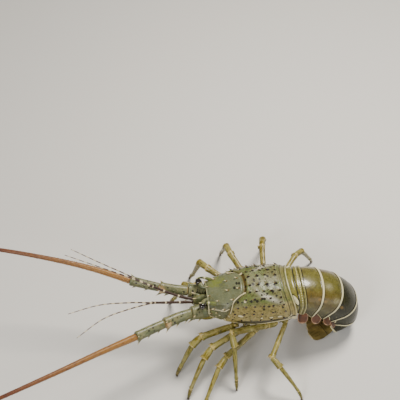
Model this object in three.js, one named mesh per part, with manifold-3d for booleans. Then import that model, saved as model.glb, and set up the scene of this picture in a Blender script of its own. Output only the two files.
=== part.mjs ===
// A spiny lobster at life size: a green tropical species with a smooth tail that has pale bands.
// It stands on ten legs, with the tail bent down and under until its last bend rests on the floor.
// Millimetres, +Z up, and the floor is z = 0. The head points to -X, so the left side is towards -Y.

import * as THREE from "three";
import { mergeVertices } from "three/addons/utils/BufferGeometryUtils.js";
import Module from "manifold-3d";

const wasm = await Module();
wasm.setup();

// Driving dimensions.
const carapaceLength = 84;
const carapaceWidth = 66;
const carapaceFront = -52; // x of the front margin between the horns
const backTop = 95; // the highest point of the back above the floor
const seam = 0.3; // gap between pieces that meet
const carapaceRear = carapaceFront + carapaceLength;

const { sin, cos, PI, sign, abs, max, min } = Math;
const degrees = PI / 180;
const upward = new THREE.Vector3(0, 0, 1);
const forward = new THREE.Vector3(-1, 0, 0);
const sides = { left: -1, right: 1 };

// Curves and numbers.

// A smooth curve through stations of [place, value].
function along(stations) {
  const end = stations.length - 1;
  const slope = (i) => {
    const [p, v] = stations[max(i - 1, 0)];
    const [q, w] = stations[min(i + 1, end)];
    return (w - v) / (q - p);
  };
  return (place) => {
    const t = min(max(place, stations[0][0]), stations[end][0]);
    let i = 0;
    while (i < end - 1 && t > stations[i + 1][0]) i += 1;
    const [p, v] = stations[i];
    const [q, w] = stations[i + 1];
    const span = q - p;
    const k = (t - p) / span;
    const rest = 1 - k;
    const values = v * (1 + 2 * k) * rest * rest + w * k * k * (3 - 2 * k);
    return values + span * k * rest * (slope(i) * rest - slope(i + 1) * k);
  };
}

const bump = (distance, width) => Math.exp(-((distance / width) ** 2));
const between = (a, b, k) => a + (b - a) * k;

// A small repeatable random draw from -1 to 1.
function drawFrom(seed) {
  let state = seed;
  return () => {
    state = (state * 48271) % 2147483647;
    return (2 * state) / 2147483647 - 1;
  };
}

// Closed geometry.

// Triangles that fill a ring, turning the same way as the ring. Its crown, from one index to another,
// is a mirrored arch that may be bowed: level strips fill that part, and the rest is nearly flat.
function fill(ring, crown) {
  if (crown) {
    const [from, to] = crown;
    const rest = [...ring.keys()].filter((i) => i <= from || i >= to);
    const faces = fill(rest.map((i) => ring[i])).map((face) => face.map((i) => rest[i]));
    for (let i = from, j = to; i < j - 1; i += 1, j -= 1) {
      faces.push([i, i + 1, j]);
      if (i + 1 < j - 1) faces.push([i + 1, j - 1, j]);
    }
    return faces;
  }
  const normal = new THREE.Vector3();
  ring.forEach((p, i) => normal.add(new THREE.Vector3().crossVectors(p, ring[(i + 1) % ring.length])));
  normal.normalize();
  const across = new THREE.Vector3().subVectors(ring[1], ring[0]).cross(normal).normalize();
  const over = new THREE.Vector3().crossVectors(normal, across);
  const flat = ring.map((p) => new THREE.Vector2(p.dot(across), p.dot(over)));
  return THREE.ShapeUtils.triangulateShape(flat, []).map(([a, b, c]) => {
    const ab = new THREE.Vector2().subVectors(flat[b], flat[a]);
    const ac = new THREE.Vector2().subVectors(flat[c], flat[a]);
    return ab.cross(ac) > 0 ? [a, b, c] : [a, c, b];
  });
}

// A closed surface through rings of points, with filled ends and its faces pointing out.
function loft(rings, crown) {
  const count = rings[0].length;
  const last = (rings.length - 1) * count;
  const faces = fill(rings[0], crown).map(([a, b, c]) => [a, c, b]);
  faces.push(...fill(rings.at(-1), crown).map((face) => face.map((i) => i + last)));
  for (let i = 0; i < last; i += count) {
    for (let j = 0; j < count; j += 1) {
      const a = i + j;
      const b = i + ((j + 1) % count);
      faces.push([a, b, b + count], [a, b + count, a + count]);
    }
  }
  const points = rings.flat();
  const volume = faces.reduce((sum, [a, b, c]) => {
    return sum + points[a].dot(new THREE.Vector3().crossVectors(points[b], points[c]));
  }, 0);
  const index = volume > 0 ? faces.flat() : faces.map(([a, b, c]) => [a, c, b]).flat();
  return new THREE.BufferGeometry().setFromPoints(points).setIndex(index);
}

// A closed tube through centres. A size is a radius, or [half width, half height] with height along up.
function tube(centres, sizes, count, { up = upward, startWay, endWay } = {}) {
  const last = centres.length - 1;
  const ways = centres.map((centre, i) => {
    if (i === 0 && startWay) return startWay.clone().normalize();
    if (i === last && endWay) return endWay.clone().normalize();
    const before = new THREE.Vector3().subVectors(centre, centres[max(i - 1, 0)]).normalize();
    const after = new THREE.Vector3().subVectors(centres[min(i + 1, last)], centre).normalize();
    return before.add(after).normalize();
  });
  const wide = new THREE.Vector3().crossVectors(up, ways[0]).normalize();
  const rings = centres.map((centre, i) => {
    wide.addScaledVector(ways[i], -wide.dot(ways[i])).normalize();
    const tall = new THREE.Vector3().crossVectors(ways[i], wide);
    const [w, h] = Array.isArray(sizes[i]) ? sizes[i] : [sizes[i], sizes[i]];
    return Array.from({ length: count }, (_, j) => {
      const turn = (2 * PI * (j + 0.5)) / count;
      return centre.clone().addScaledVector(wide, w * cos(turn)).addScaledVector(tall, h * sin(turn));
    });
  });
  return loft(rings);
}

// A spine that stands on a surface at a point, with its root sunk under it.
function spine(at, way, length, radius, sunk = 1.2) {
  const tall = length + sunk;
  const cone = new THREE.ConeGeometry(radius, tall, 5);
  cone.translate(0, tall / 2 - sunk, 0);
  const turn = new THREE.Quaternion().setFromUnitVectors(new THREE.Vector3(0, 1, 0), way.clone().normalize());
  return cone.applyQuaternion(turn).translate(at.x, at.y, at.z);
}

// Points on a smooth line through a few points.
function smoothLine(points, steps) {
  return new THREE.CatmullRomCurve3(points, false, "centripetal").getPoints(steps);
}

function solidOf(geometry) {
  const bare = new THREE.BufferGeometry();
  bare.setAttribute("position", geometry.getAttribute("position"));
  bare.setIndex(geometry.index);
  const merged = mergeVertices(bare, 1e-4);
  return new wasm.Manifold(
    new wasm.Mesh({
      numProp: 3,
      vertProperties: merged.attributes.position.array,
      triVerts: new Uint32Array(merged.index.array),
    }),
  );
}

// One closed body from several geometries.
function fuse(geometries) {
  const whole = geometries.map(solidOf).reduce((sum, piece) => sum.add(piece));
  return whole.decompose().sort((a, b) => b.volume() - a.volume())[0];
}

// Materials.

const finish = (color, roughness) => {
  return new THREE.MeshStandardMaterial({ color, roughness, metalness: 0, flatShading: true });
};
const finishes = {
  shell: finish("#6d7149", 0.35),
  belly: finish("#b9a878", 0.5),
  tail: finish("#6c6a2c", 0.25),
  fan: finish("#5c5a30", 0.4),
  peduncle: finish("#7c8160", 0.4),
  flagellum: finish("#7a4a22", 0.45),
  antennule: finish("#4a2c20", 0.45),
  leg: finish("#8c8434", 0.4),
  swimmeret: finish("#8a4a2c", 0.45),
  eye: finish("#1d1410", 0.12),
};

const lobster = new THREE.Group();

function addNode(name, solid, material) {
  const made = solid.getMesh();
  const geometry = new THREE.BufferGeometry();
  geometry.setAttribute("position", new THREE.BufferAttribute(made.vertProperties, 3));
  geometry.setIndex(new THREE.BufferAttribute(made.triVerts, 1));
  const mesh = new THREE.Mesh(geometry, material);
  mesh.name = name;
  lobster.add(mesh);
}

// Carapace.

// Each curve runs from the front margin, 0, to the rear margin, 1.
const halfWidth = along([[0, 19], [0.1, 23.5], [0.25, 28], [0.45, 31.5], [0.65, carapaceWidth / 2], [0.85, 32.5], [1, 30]]);
const backHeight = along([[0, 83], [0.1, 86], [0.25, 90], [0.45, 94], [0.65, backTop], [0.85, 93.5], [1, 91]]);
const widestHeight = along([[0, 69], [0.3, 68], [0.6, 67.5], [1, 67]]);
const edgeHalfWidth = along([[0, 13], [0.12, 15], [0.36, 20.5], [0.55, 24.5], [0.8, 25.5], [1, 25]]);
const edgeHeight = along([[0, 61], [0.12, 58], [0.36, 53], [0.55, 51.5], [1, 52]]);
const channelDepth = along([[0, 0.6], [0.1, 0.8], [0.2, 5], [1, 5]]);
const sectionPower = 2 / 2.2; // a little squarer than an ellipse
const upperShare = 0.66; // share of the outline above the widest level
const rearBow = 6.5; // how far the sides of the rear margin reach back past its middle
const lip = 2.2; // thickness of the shell at its lower edge

// Where the groove crosses the outline, from the middle of the back, 0, down to the edge, 1.
const grooveAt = along([[0, 0.476], [0.15, 0.455], [0.26, 0.38], [0.37, 0.29], [0.52, 0.245], [0.66, 0.215], [1, 0.12]]);
const groove = { depth: 1.7, width: 1.9 };
const rearGroove = { depth: 1.1, width: 1.2, fromRear: 6 };

// A rear margin reaches back the most from its widest level down, and least at the top of its arch.
const bowed = (above, rise) => 1 - min(max(above / rise, 0), 1) ** 2;
const bowAt = (t, z) => {
  const share = THREE.MathUtils.smoothstep(t, 0.6, 1);
  return share * rearBow * bowed(z - widestHeight(1), backHeight(1) - widestHeight(1));
};

// The plain outline: t from front to rear, s from -1 at the left edge to 1 at the right edge.
function plainShell(t, s) {
  const reach = abs(s);
  const wide = halfWidth(t);
  const level = widestHeight(t);
  let y;
  let z;
  if (reach < upperShare) {
    const turn = (reach / upperShare) * (PI / 2);
    y = wide * sin(turn) ** sectionPower;
    z = level + (backHeight(t) - level) * cos(turn) ** sectionPower;
  } else {
    const turn = ((reach - upperShare) / (1 - upperShare)) * (PI / 2);
    y = between(edgeHalfWidth(t), wide, cos(turn));
    z = between(level, edgeHeight(t), sin(turn));
  }
  return new THREE.Vector3(carapaceFront + t * carapaceLength + bowAt(t, z), sign(s) * y, z);
}

function shellNormal(t, s) {
  const step = 0.01;
  const t0 = max(t - step, 0);
  const t1 = min(t + step, 1);
  const s0 = max(s - step, -1);
  const s1 = min(s + step, 1);
  const lengthwise = plainShell(t1, s).sub(plainShell(t0, s));
  const crosswise = plainShell(t, s1).sub(plainShell(t, s0));
  return new THREE.Vector3().crossVectors(lengthwise, crosswise).normalize();
}

// The outline with its grooves pressed in.
function shell(t, s) {
  const fromGroove = (t - grooveAt(abs(s))) * carapaceLength;
  const fromRear = (1 - t) * carapaceLength - rearGroove.fromRear;
  const pressed = groove.depth * bump(fromGroove, groove.width) + rearGroove.depth * bump(fromRear, rearGroove.width);
  return plainShell(t, s).addScaledVector(shellNormal(t, s), -pressed);
}

function carapaceBody() {
  const across = 30;
  const stations = [0, 0.05];
  for (let t = 0.1; t < 0.9; t += 0.035) stations.push(t);
  stations.push(0.91, 0.93, 0.95, 0.975, 1);
  return loft(
    stations.map((t) => {
      const ring = Array.from({ length: across + 1 }, (_, j) => shell(t, (2 * j) / across - 1));
      const edge = edgeHeight(t);
      const inner = edgeHalfWidth(t) - lip;
      const roof = edge + channelDepth(t);
      const under = [[inner, edge + 0.4], [inner, roof], [0, roof], [-inner, roof], [-inner, edge + 0.4]];
      under.forEach(([y, z]) => {
        ring.push(new THREE.Vector3(carapaceFront + t * carapaceLength + bowAt(t, z), y, z));
      });
      return ring;
    }),
    [5, 25],
  );
}

// Rows of forward-leaning spines: s is the row's place down the side, t its first and last station.
const spineRows = [
  { s: 0.06, from: 0.55, to: 0.86, count: 4, tall: 3.2 },
  { s: 0.16, from: 0.53, to: 0.88, count: 5, tall: 3 },
  { s: 0.28, from: 0.47, to: 0.87, count: 5, tall: 3 },
  { s: 0.4, from: 0.36, to: 0.88, count: 6, tall: 2.8 },
  { s: 0.53, from: 0.32, to: 0.88, count: 6, tall: 2.6 },
  { s: 0.66, from: 0.29, to: 0.86, count: 6, tall: 2.4 },
  { s: 0.8, from: 0.33, to: 0.84, count: 5, tall: 2.2 },
  { s: 0.08, from: 0.26, to: 0.39, count: 2, tall: 3.2 },
  { s: 0.24, from: 0.13, to: 0.31, count: 2, tall: 3.4 },
  { s: 0.42, from: 0.07, to: 0.19, count: 2, tall: 3.2 },
];
const spineLean = { out: 0.75, ahead: 0.66 };
const spineSpread = 0.006; // how far a spine strays from its place in the row

function shellSpine(t, s, tall) {
  const normal = shellNormal(t, s);
  const way = normal.clone().multiplyScalar(spineLean.out).addScaledVector(forward, spineLean.ahead);
  return spine(shell(t, s), way, tall, 0.36 * tall + 0.15);
}

function carapaceSpines() {
  const draw = drawFrom(7);
  const made = [];
  for (const row of spineRows) {
    for (const side of Object.values(sides)) {
      for (let i = 0; i < row.count; i += 1) {
        const t = between(row.from, row.to, i / (row.count - 1)) + spineSpread * draw();
        const s = side * (row.s + spineSpread * draw());
        made.push(shellSpine(t, s, row.tall * (1 + 0.12 * draw())));
      }
    }
  }
  return made;
}

// The two horns over the eyes: flattened from side to side and curved up and forward.
const horn = { height: 2.9, thickness: 2, t: 0.085, s: 0.3 };

function frontalHorn(side) {
  const root = shell(horn.t, side * horn.s);
  const place = (ahead, out, rise) => root.clone().add(new THREE.Vector3(-ahead, side * out, rise));
  const line = smoothLine([place(-5, -1, -4), place(0, 0, 0), place(6, 0.7, 3.6), place(12, 0.8, 5.2), place(17, 0, 5)], 6);
  const sizes = line.map((_, i) => {
    const k = 1 - i / (line.length - 1);
    return [0.25 + horn.thickness * k ** 0.8, 0.25 + horn.height * k ** 0.8];
  });
  return tube(line, sizes, 8);
}

const horns = Object.values(sides).map(frontalHorn);
addNode("carapace", fuse([carapaceBody(), ...horns, ...carapaceSpines()]), finishes.shell);

// Underside of the thorax, which carries the legs.

const sternum = { front: 0.17, rear: 0.985, bottom: 45, sideInset: 9.5 };
const sternumTop = (t) => edgeHeight(t) + channelDepth(t) - seam;
const sternumTopHalf = (t) => edgeHalfWidth(t) - lip - seam;
const sternumBottomHalf = (t) => edgeHalfWidth(t) - sternum.sideInset;

function sternumBody() {
  const steps = 8;
  return loft(
    Array.from({ length: steps + 1 }, (_, i) => {
      const t = between(sternum.front, sternum.rear, i / steps);
      const x = carapaceFront + t * carapaceLength;
      const top = sternumTop(t);
      const wide = sternumTopHalf(t);
      const narrow = sternumBottomHalf(t);
      const outline = [[wide, top], [wide - 0.6, top - 2.4], [narrow, sternum.bottom], [0, sternum.bottom + 0.8]];
      const mirrored = outline.slice(0, 3).reverse().map(([y, z]) => [-y, z]);
      return [...outline, ...mirrored].map(([y, z]) => new THREE.Vector3(x, y, z));
    }),
  );
}

addNode("sternum", fuse([sternumBody()]), finishes.belly);

// Head: the epistome with its plate of two spines, the eyes, antennules and antennae.

const head = { front: carapaceFront - seam, eyeOut: 8, eyeHeight: 79.6 };

function epistome() {
  const centres = [0, 7.5, 14].map((ahead) => new THREE.Vector3(head.front - ahead, 0, 68.5 + 0.06 * ahead));
  const block = tube(centres, [[4.1, 9.4], [4.2, 8.6], [3.8, 6.2]], 12, { startWay: forward, endWay: forward });
  const plateSpines = Object.values(sides).map((side) => {
    return spine(new THREE.Vector3(head.front - 9, side * 2.4, 75.4), new THREE.Vector3(-0.8, side * 0.25, 0.55), 7, 1.9, 2);
  });
  return [block, ...plateSpines];
}

addNode("epistome", fuse(epistome()), finishes.peduncle);

// A spine on an article of a limb, at a share of its length and at a turn around it from the outer side.
function limbSpine(centres, sizes, share, turn, tall, side) {
  const place = share * (centres.length - 1);
  const i = min(Math.floor(place), centres.length - 2);
  const at = centres[i].clone().lerp(centres[i + 1], place - i);
  const way = new THREE.Vector3().subVectors(centres[i + 1], centres[i]).normalize();
  const wide = new THREE.Vector3().crossVectors(upward, way).normalize().multiplyScalar(-side);
  const tall3 = new THREE.Vector3().crossVectors(way, wide).multiplyScalar(side);
  const out = wide.multiplyScalar(cos(turn)).addScaledVector(tall3, sin(turn));
  const radius = between(sizes[i], sizes[i + 1], place - i);
  at.addScaledVector(out, radius - 0.4);
  return spine(at, out.multiplyScalar(0.72).addScaledVector(way, 0.7), tall, 0.2 * tall + 0.45, 1.4);
}

// The antenna's three articles and its whip, each from a few centres and radii on the left side.
// A spine there is a share of the way along, a turn around from the outer side, and a length.
const antennaArticles = {
  base: {
    left: [[-52.3, 12, 67.3], [-61, 13.6, 67.8], [-70, 16, 69.6]],
    right: [[-52.3, 12, 67.3], [-61, 12.8, 67.6], [-70, 13.6, 68.8]],
    radii: [7, 7.8, 6.9],
    spines: [[0.55, 20, 5.5], [0.9, 70, 7], [0.95, 150, 6], [0.9, -30, 5]],
  },
  middle: {
    left: [[-70.3, 16.1, 69.7], [-85, 21.3, 71.9], [-99.8, 28, 73.8]],
    right: [[-70.3, 13.7, 68.9], [-85, 16, 70.8], [-99.8, 19.5, 72.6]],
    radii: [5.2, 5.7, 5.9],
    spines: [[0.2, 35, 5], [0.55, 30, 5.5], [0.92, 40, 6], [0.35, 140, 4.5], [0.7, 145, 5], [0.95, 130, 6], [0.93, -60, 4.5]],
  },
  outer: {
    left: [[-100.1, 28.2, 73.9], [-115, 35, 75.8], [-130.6, 42.6, 77.6]],
    right: [[-100.1, 19.6, 72.7], [-115, 24.2, 74.8], [-130.6, 29.6, 77]],
    radii: [4.6, 5, 5.2],
    spines: [[0.25, 30, 4], [0.6, 35, 4.4], [0.95, 40, 5], [0.4, 140, 3.8], [0.8, 140, 4.4], [0.95, -50, 4]],
  },
};
const whip = {
  left: [[-130.9, 42.8, 77.6], [-169, 61, 84], [-210, 81, 90], [-268, 107.5, 97], [-330, 132, 100], [-398, 154, 99], [-462, 170, 93]],
  right: [[-130.9, 29.7, 77], [-172, 45, 86], [-220, 58, 96], [-285, 72, 107], [-350, 82, 113], [-412, 92, 115], [-470, 104, 111]],
  rootRadius: 3.8,
  tipRadius: 0.5,
  steps: 24,
};

const mirroredPoint = (side) => ([x, y, z]) => new THREE.Vector3(x, side * y, z);
const wayFrom = (a, b) => new THREE.Vector3().subVectors(b, a).normalize();

for (const [name, side] of Object.entries(sides)) {
  const place = mirroredPoint(side);
  const firsts = Object.values(antennaArticles).map((article) => article[name].map(place));
  const whipLine = smoothLine(whip[name].map(place), whip.steps);
  // Articles that meet share the way their end faces look.
  const ways = [forward];
  firsts.forEach((points, i) => {
    const next = firsts[i + 1] ?? whipLine;
    ways.push(wayFrom(points.at(-2), points.at(-1)).add(wayFrom(next[0], next[1])).normalize());
  });
  Object.entries(antennaArticles).forEach(([article, { radii, spines }], i) => {
    const body = tube(firsts[i], radii, 12, { startWay: ways[i], endWay: ways[i + 1] });
    const made = spines.map(([share, turn, tall]) => limbSpine(firsts[i], radii, share, turn * degrees, tall, side));
    addNode(`antenna_${article}_${name}`, fuse([body, ...made]), finishes.peduncle);
  });
  const radii = whipLine.map((_, i) => between(whip.rootRadius, whip.tipRadius, (i / whip.steps) ** 0.8));
  addNode(`antenna_whip_${name}`, fuse([tube(whipLine, radii, 8, { startWay: ways[3] })]), finishes.flagellum);
}

// Antennules: a thin jointed stalk, and two fine flagella on one short article.
const antennule = {
  stalk: [[-66.6, 1.95, 69.8], [-74, 2.8, 72], [-90, 6, 79], [-108, 10.5, 88.5]],
  stalkRadii: [1.7, 1.5, 1.6, 1.7, 1.35, 1.45, 1.5, 1.25, 1.35],
  root: [-108.4, 10.6, 88.7],
  fork: [-111.5, 11.4, 90.3],
  inner: [[-135, 17, 103], [-165, 25, 116], [-196, 37, 124]],
  outer: [[-134, 22, 99], [-162, 36, 107], [-190, 56, 108]],
  rootRadius: 0.85,
  tipRadius: 0.35,
  steps: 12,
};

for (const [name, side] of Object.entries(sides)) {
  const place = mirroredPoint(side);
  const stalkLine = smoothLine(antennule.stalk.map(place), antennule.stalkRadii.length - 1);
  const endWay = wayFrom(place(antennule.root), place(antennule.fork));
  const stalk = tube(stalkLine, antennule.stalkRadii, 8, { startWay: forward, endWay });
  addNode(`antennule_stalk_${name}`, fuse([stalk]), finishes.antennule);
  const root = place(antennule.root);
  const fork = place(antennule.fork);
  const article = tube([root, fork], [1.35, 1.5], 8, { startWay: endWay, endWay });
  const flagella = [antennule.inner, antennule.outer].map((points) => {
    const line = smoothLine([fork.clone().lerp(root, 0.5), ...points.map(place)], antennule.steps);
    const radii = line.map((_, i) => between(antennule.rootRadius, antennule.tipRadius, i / antennule.steps));
    return tube(line, radii, 6);
  });
  addNode(`antennule_flagella_${name}`, fuse([article, ...flagella]), finishes.antennule);
}

// Eyes: a short stalk that curves out from under the horn, and a dark rounded eye with a flat back.
const eye = { stalkRadii: [2.5, 2.3, 2.9], radius: 3.7, depth: 6.6 };

for (const [name, side] of Object.entries(sides)) {
  const root = new THREE.Vector3(head.front, side * head.eyeOut, head.eyeHeight);
  const elbow = root.clone().add(new THREE.Vector3(-2.8, side * 1.2, 0));
  const end = root.clone().add(new THREE.Vector3(-4.6, side * 5.2, 0.3));
  const way = new THREE.Vector3(-0.45, side * 0.86, 0.22).normalize();
  const stalk = tube([root, elbow, end], eye.stalkRadii, 10, { startWay: forward, endWay: way });
  addNode(`eyestalk_${name}`, fuse([stalk]), finishes.peduncle);
  const profile = [[0, 0], [2.9, 0], [3.5, 0.17], [3.7, 0.42], [3.1, 0.75], [1.8, 0.94], [0, 1]];
  const ball = new THREE.LatheGeometry(profile.map(([r, k]) => new THREE.Vector2(r, k * eye.depth)), 14);
  ball.applyQuaternion(new THREE.Quaternion().setFromUnitVectors(new THREE.Vector3(0, 1, 0), way));
  const seat = end.clone().addScaledVector(way, seam);
  addNode(`eye_${name}`, fuse([ball.translate(seat.x, seat.y, seat.z)]), finishes.eye);
}

// Mouth limbs: the pair that folds forward under the head.
const mouthLimb = { points: [[-38.1, 5.4, 50], [-44, 7, 47.6], [-53, 8, 47], [-61, 8, 50], [-66, 6.6, 55]], radii: [[3.2, 3.6], [3.2, 3.4], [2.7, 3], [2.3, 2.5], [1, 1.1]] };

for (const [name, side] of Object.entries(sides)) {
  const line = mouthLimb.points.map(mirroredPoint(side));
  addNode(`maxilliped_${name}`, fuse([tube(line, mouthLimb.radii, 8, { startWay: forward })]), finishes.leg);
}

// Legs. Each has its place on the thorax, how far its first article leans back and up, and then
// [heading, rise, length] of the later ones. A heading turns out from straight ahead, in degrees.
const legs = {
  left: [
    { hip: -21, lean: [0, 0], merus: [14, -1, 40], carpus: [34, -20, 13], shank: [30, 31], radius: 4.1 },
    { hip: -9.5, lean: [0, -0.1], merus: [24, -7, 45], carpus: [48, -14, 14], shank: [52, 35], radius: 3.9 },
    { hip: 3, lean: [0.1, -0.25], merus: [30, -20, 49], carpus: [50, -4, 15], shank: [60, 38], radius: 3.7 },
    { hip: 16, lean: [0.38, 0.34], merus: [10, 7, 51], carpus: [104, -34, 15], shank: [88, 38], radius: 3.6 },
    { hip: 26.5, lean: [0.75, 0.05], merus: [61, -6, 46], carpus: [128, -16, 13], shank: [136, 34], radius: 3.3 },
  ],
  right: [
    { hip: -21, lean: [0, 0], merus: [18, 2, 40], carpus: [30, -20, 13], shank: [24, 31], radius: 4.1 },
    { hip: -9.5, lean: [0, 0], merus: [42, 9, 45], carpus: [60, -20, 14], shank: [54, 35], radius: 3.9 },
    { hip: 3, lean: [0, 0], merus: [68, 10, 49], carpus: [82, -22, 15], shank: [84, 38], radius: 3.7 },
    { hip: 15.5, lean: [0.2, 0], merus: [96, 9, 51], carpus: [104, -24, 15], shank: [108, 38], radius: 3.6 },
    { hip: 26.5, lean: [0.5, 0], merus: [128, 4, 46], carpus: [138, -22, 13], shank: [142, 34], radius: 3.3 },
  ],
};
const dactyl = { length: 14.5, fall: 66, tipRadius: 0.75 };
const coxaLength = 8.5;

// A point on the sloping side of the thorax, at a share of its height.
function flank(side, x, share) {
  const t = (x - carapaceFront) / carapaceLength;
  const top = sternumTop(t) - 2.4;
  const out = between(sternumBottomHalf(t), sternumTopHalf(t) - 0.6, share);
  return new THREE.Vector3(x, side * out, between(sternum.bottom, top, share));
}

function heading(side, turn, rise) {
  const level = cos(rise * degrees);
  return new THREE.Vector3(-level * cos(turn * degrees), side * level * sin(turn * degrees), sin(rise * degrees));
}

for (const [name, side] of Object.entries(sides)) {
  legs[name].forEach(({ hip, lean, merus, carpus, shank, radius }, i) => {
    const socket = flank(side, hip, 0.46);
    const lengthwise = flank(side, hip + 1, 0.46).sub(flank(side, hip - 1, 0.46));
    const out = new THREE.Vector3().crossVectors(lengthwise, flank(side, hip, 0.5).sub(socket)).normalize();
    out.multiplyScalar(sign(out.y) * side);
    const root = socket.addScaledVector(out, seam + 0.1);
    const coxaWay = out.clone().add(new THREE.Vector3(lean[0], 0, lean[1])).normalize();
    const elbow = root.clone().addScaledVector(coxaWay, coxaLength);
    const merusWay = heading(side, merus[0], merus[1]);
    const knee = elbow.clone().addScaledVector(merusWay, merus[2]);
    const carpusWay = heading(side, carpus[0], carpus[1]);
    const kneeWay = merusWay.clone().add(carpusWay).normalize();
    const upper = [root, root.clone().lerp(elbow, 0.5), elbow];
    [0.16, 0.2, 0.6, 0.93].forEach((share) => upper.push(elbow.clone().lerp(knee, share)));
    upper.push(knee);
    const upperRadii = [0.92, 1.02, 1, 0.92, 0.84, 1, 1.08, 0.92].map((share) => share * radius);
    const kneeSpines = [0.93, 0.97].map((share, k) => {
      const spot = elbow.clone().lerp(knee, share).addScaledVector(upward, 0.8 * radius);
      return spine(spot, merusWay.clone().addScaledVector(upward, 0.7 - 0.3 * k), 3.4 - k, 1.2);
    });
    const thigh = tube(upper, upperRadii, 8, { up: forward, startWay: out, endWay: kneeWay });
    addNode(`leg_${i + 1}_upper_${name}`, fuse([thigh, ...kneeSpines]), finishes.leg);

    // The shank falls just far enough for the claw's flat tip to meet the floor.
    const start = knee.clone().addScaledVector(kneeWay, seam);
    const wrist = start.clone().addScaledVector(carpusWay, carpus[2]);
    const clawWay = heading(side, shank[0], -dactyl.fall);
    const drop = wrist.z - dactyl.length * sin(dactyl.fall * degrees);
    const fall = Math.asin(drop / shank[1]) / degrees;
    const shankWay = heading(side, shank[0], -fall);
    const ankle = wrist.clone().addScaledVector(shankWay, shank[1]);
    const tip = ankle.clone().addScaledVector(clawWay, dactyl.length);
    const lower = [start, start.clone().lerp(wrist, 0.75), wrist];
    [0.06, 0.14, 0.55, 0.93, 1].forEach((share) => lower.push(wrist.clone().lerp(ankle, share)));
    [0.12, 0.6, 1].forEach((share) => lower.push(ankle.clone().lerp(tip, share)));
    lower.at(-1).z = 0;
    const lowerShares = [0.8, 0.98, 0.86, 0.7, 0.76, 0.7, 0.66, 0.52, 0.5, 0.36];
    const lowerRadii = [...lowerShares.map((share) => share * radius), dactyl.tipRadius];
    const wristSpine = spine(
      start.clone().lerp(wrist, 0.85).addScaledVector(upward, 0.75 * radius),
      carpusWay.clone().addScaledVector(upward, 0.8),
      3,
      1.1,
    );
    const shin = tube(lower, lowerRadii, 8, { up: forward, startWay: kneeWay, endWay: upward.clone().negate() });
    addNode(`leg_${i + 1}_lower_${name}`, fuse([shin, wristSpine]), finishes.leg);
  });
}

// Abdomen: six rings on a line that bends down and under. A turn is the fall of that line in degrees.
const tailStart = { x: carapaceRear + seam / 2, z: widestHeight(1) + 3.6, turn: 0 };
const rings = [
  { length: 12, turn: 6, half: 27, rise: 20, pleuron: 13, bow: rearBow },
  { length: 20.5, turn: 20, half: 26.7, rise: 20, pleuron: 17.5, bow: 1.5 },
  { length: 21.5, turn: 37, half: 26, rise: 19.5, pleuron: 17.5, bow: 0 },
  { length: 20.5, turn: 60, half: 25, rise: 18.5, pleuron: 16, bow: 0 },
  { length: 18, turn: 100, half: 23, rise: 17, pleuron: 13.5, bow: 0 },
  { length: 17, turn: 150, half: 20, rise: 13.5, pleuron: 9, bow: 0 },
];
const overlapStep = 1.3; // how far the front of a ring sits inside the rear of the one before
const belly = 8; // depth of the soft underside below the line
const pleuronTooth = along([[0, 0.05], [0.35, 0.55], [0.78, 1], [1, 0.55]]);

// A point on the line inside ring k, with the way it runs and the way its back faces.
const tailFrames = [];
let jointX = tailStart.x;
let jointZ = tailStart.z;
let jointTurn = tailStart.turn * degrees;
for (const ring of rings) {
  const [x0, z0, turn0] = [jointX, jointZ, jointTurn];
  const bend = ring.turn * degrees - turn0;
  const radius = ring.length / bend;
  const frame = (u) => {
    const turn = turn0 + bend * u;
    return {
      at: new THREE.Vector3(x0 + radius * (sin(turn) - sin(turn0)), 0, z0 + radius * (cos(turn) - cos(turn0))),
      way: new THREE.Vector3(cos(turn), 0, -sin(turn)),
      back: new THREE.Vector3(sin(turn), 0, cos(turn)),
    };
  };
  tailFrames.push(frame);
  const end = frame(1);
  [jointX, jointZ, jointTurn] = [end.at.x, end.at.z, turn0 + bend];
}

const sideways = new THREE.Vector3(0, 1, 0);
const inFrame = ({ at, way, back }, x, y, h) => {
  return at.clone().addScaledVector(way, x).addScaledVector(sideways, y).addScaledVector(back, h);
};

function ringOutline(half, rise, pleuron) {
  const arc = 16;
  const outline = [];
  for (let j = 0; j <= arc; j += 1) {
    const turn = (j / arc) * PI - PI / 2;
    outline.push([half * sign(turn) * abs(sin(turn)) ** sectionPower, rise * cos(turn) ** sectionPower]);
  }
  const thick = 1.7;
  const tipIn = 0.16 * half;
  outline.push([half - 0.03 * half, -0.45 * pleuron], [half - tipIn, -pleuron]);
  outline.push([half - tipIn - thick, -pleuron + 0.4], [half - 0.26 * half, -belly], [0, -belly + 1.5]);
  outline.push([-(half - 0.26 * half), -belly], [-(half - tipIn - thick), -pleuron + 0.4]);
  outline.push([-(half - tipIn), -pleuron], [-(half - 0.03 * half), -0.45 * pleuron]);
  return outline;
}

function ringBody(k) {
  const ring = rings[k];
  const before = rings[k - 1] ?? { ...ring, half: 28.5, rise: 20.2 };
  const stations = [0, 0.25, 0.5, 0.78, 0.93, 1];
  return loft(
    stations.map((u) => {
      const step = overlapStep * (1 - u) ** 1.5;
      const half = between(before.half, ring.half, u) - step;
      const rise = between(before.rise, ring.rise, u) - step;
      const bow = between(before.bow, ring.bow, u);
      const pleuron = belly + 1 + (ring.pleuron - belly - 1) * pleuronTooth(u);
      const frame = tailFrames[k](u);
      const nudge = u === 0 ? seam / 2 : u === 1 ? -seam / 2 : 0;
      return ringOutline(half, rise, pleuron).map(([y, h]) => {
        return inFrame(frame, nudge + bow * bowed(h, between(before.rise, ring.rise, u)), y, h);
      });
    }),
    [0, 16],
  );
}

rings.forEach((_, k) => {
  // The last bend is flattened where it rests on the floor.
  const body = fuse([ringBody(k)]).trimByPlane([0, 0, 1], 0);
  addNode(`abdomen_${k + 1}`, body, finishes.tail);
});

// Swimmerets: thin leaves in pairs under rings two to five.
const swimmeret = { out: 0.5, lengths: [15, 14, 11, 8], halfWidth: 4.6, thickness: 0.75 };

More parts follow.
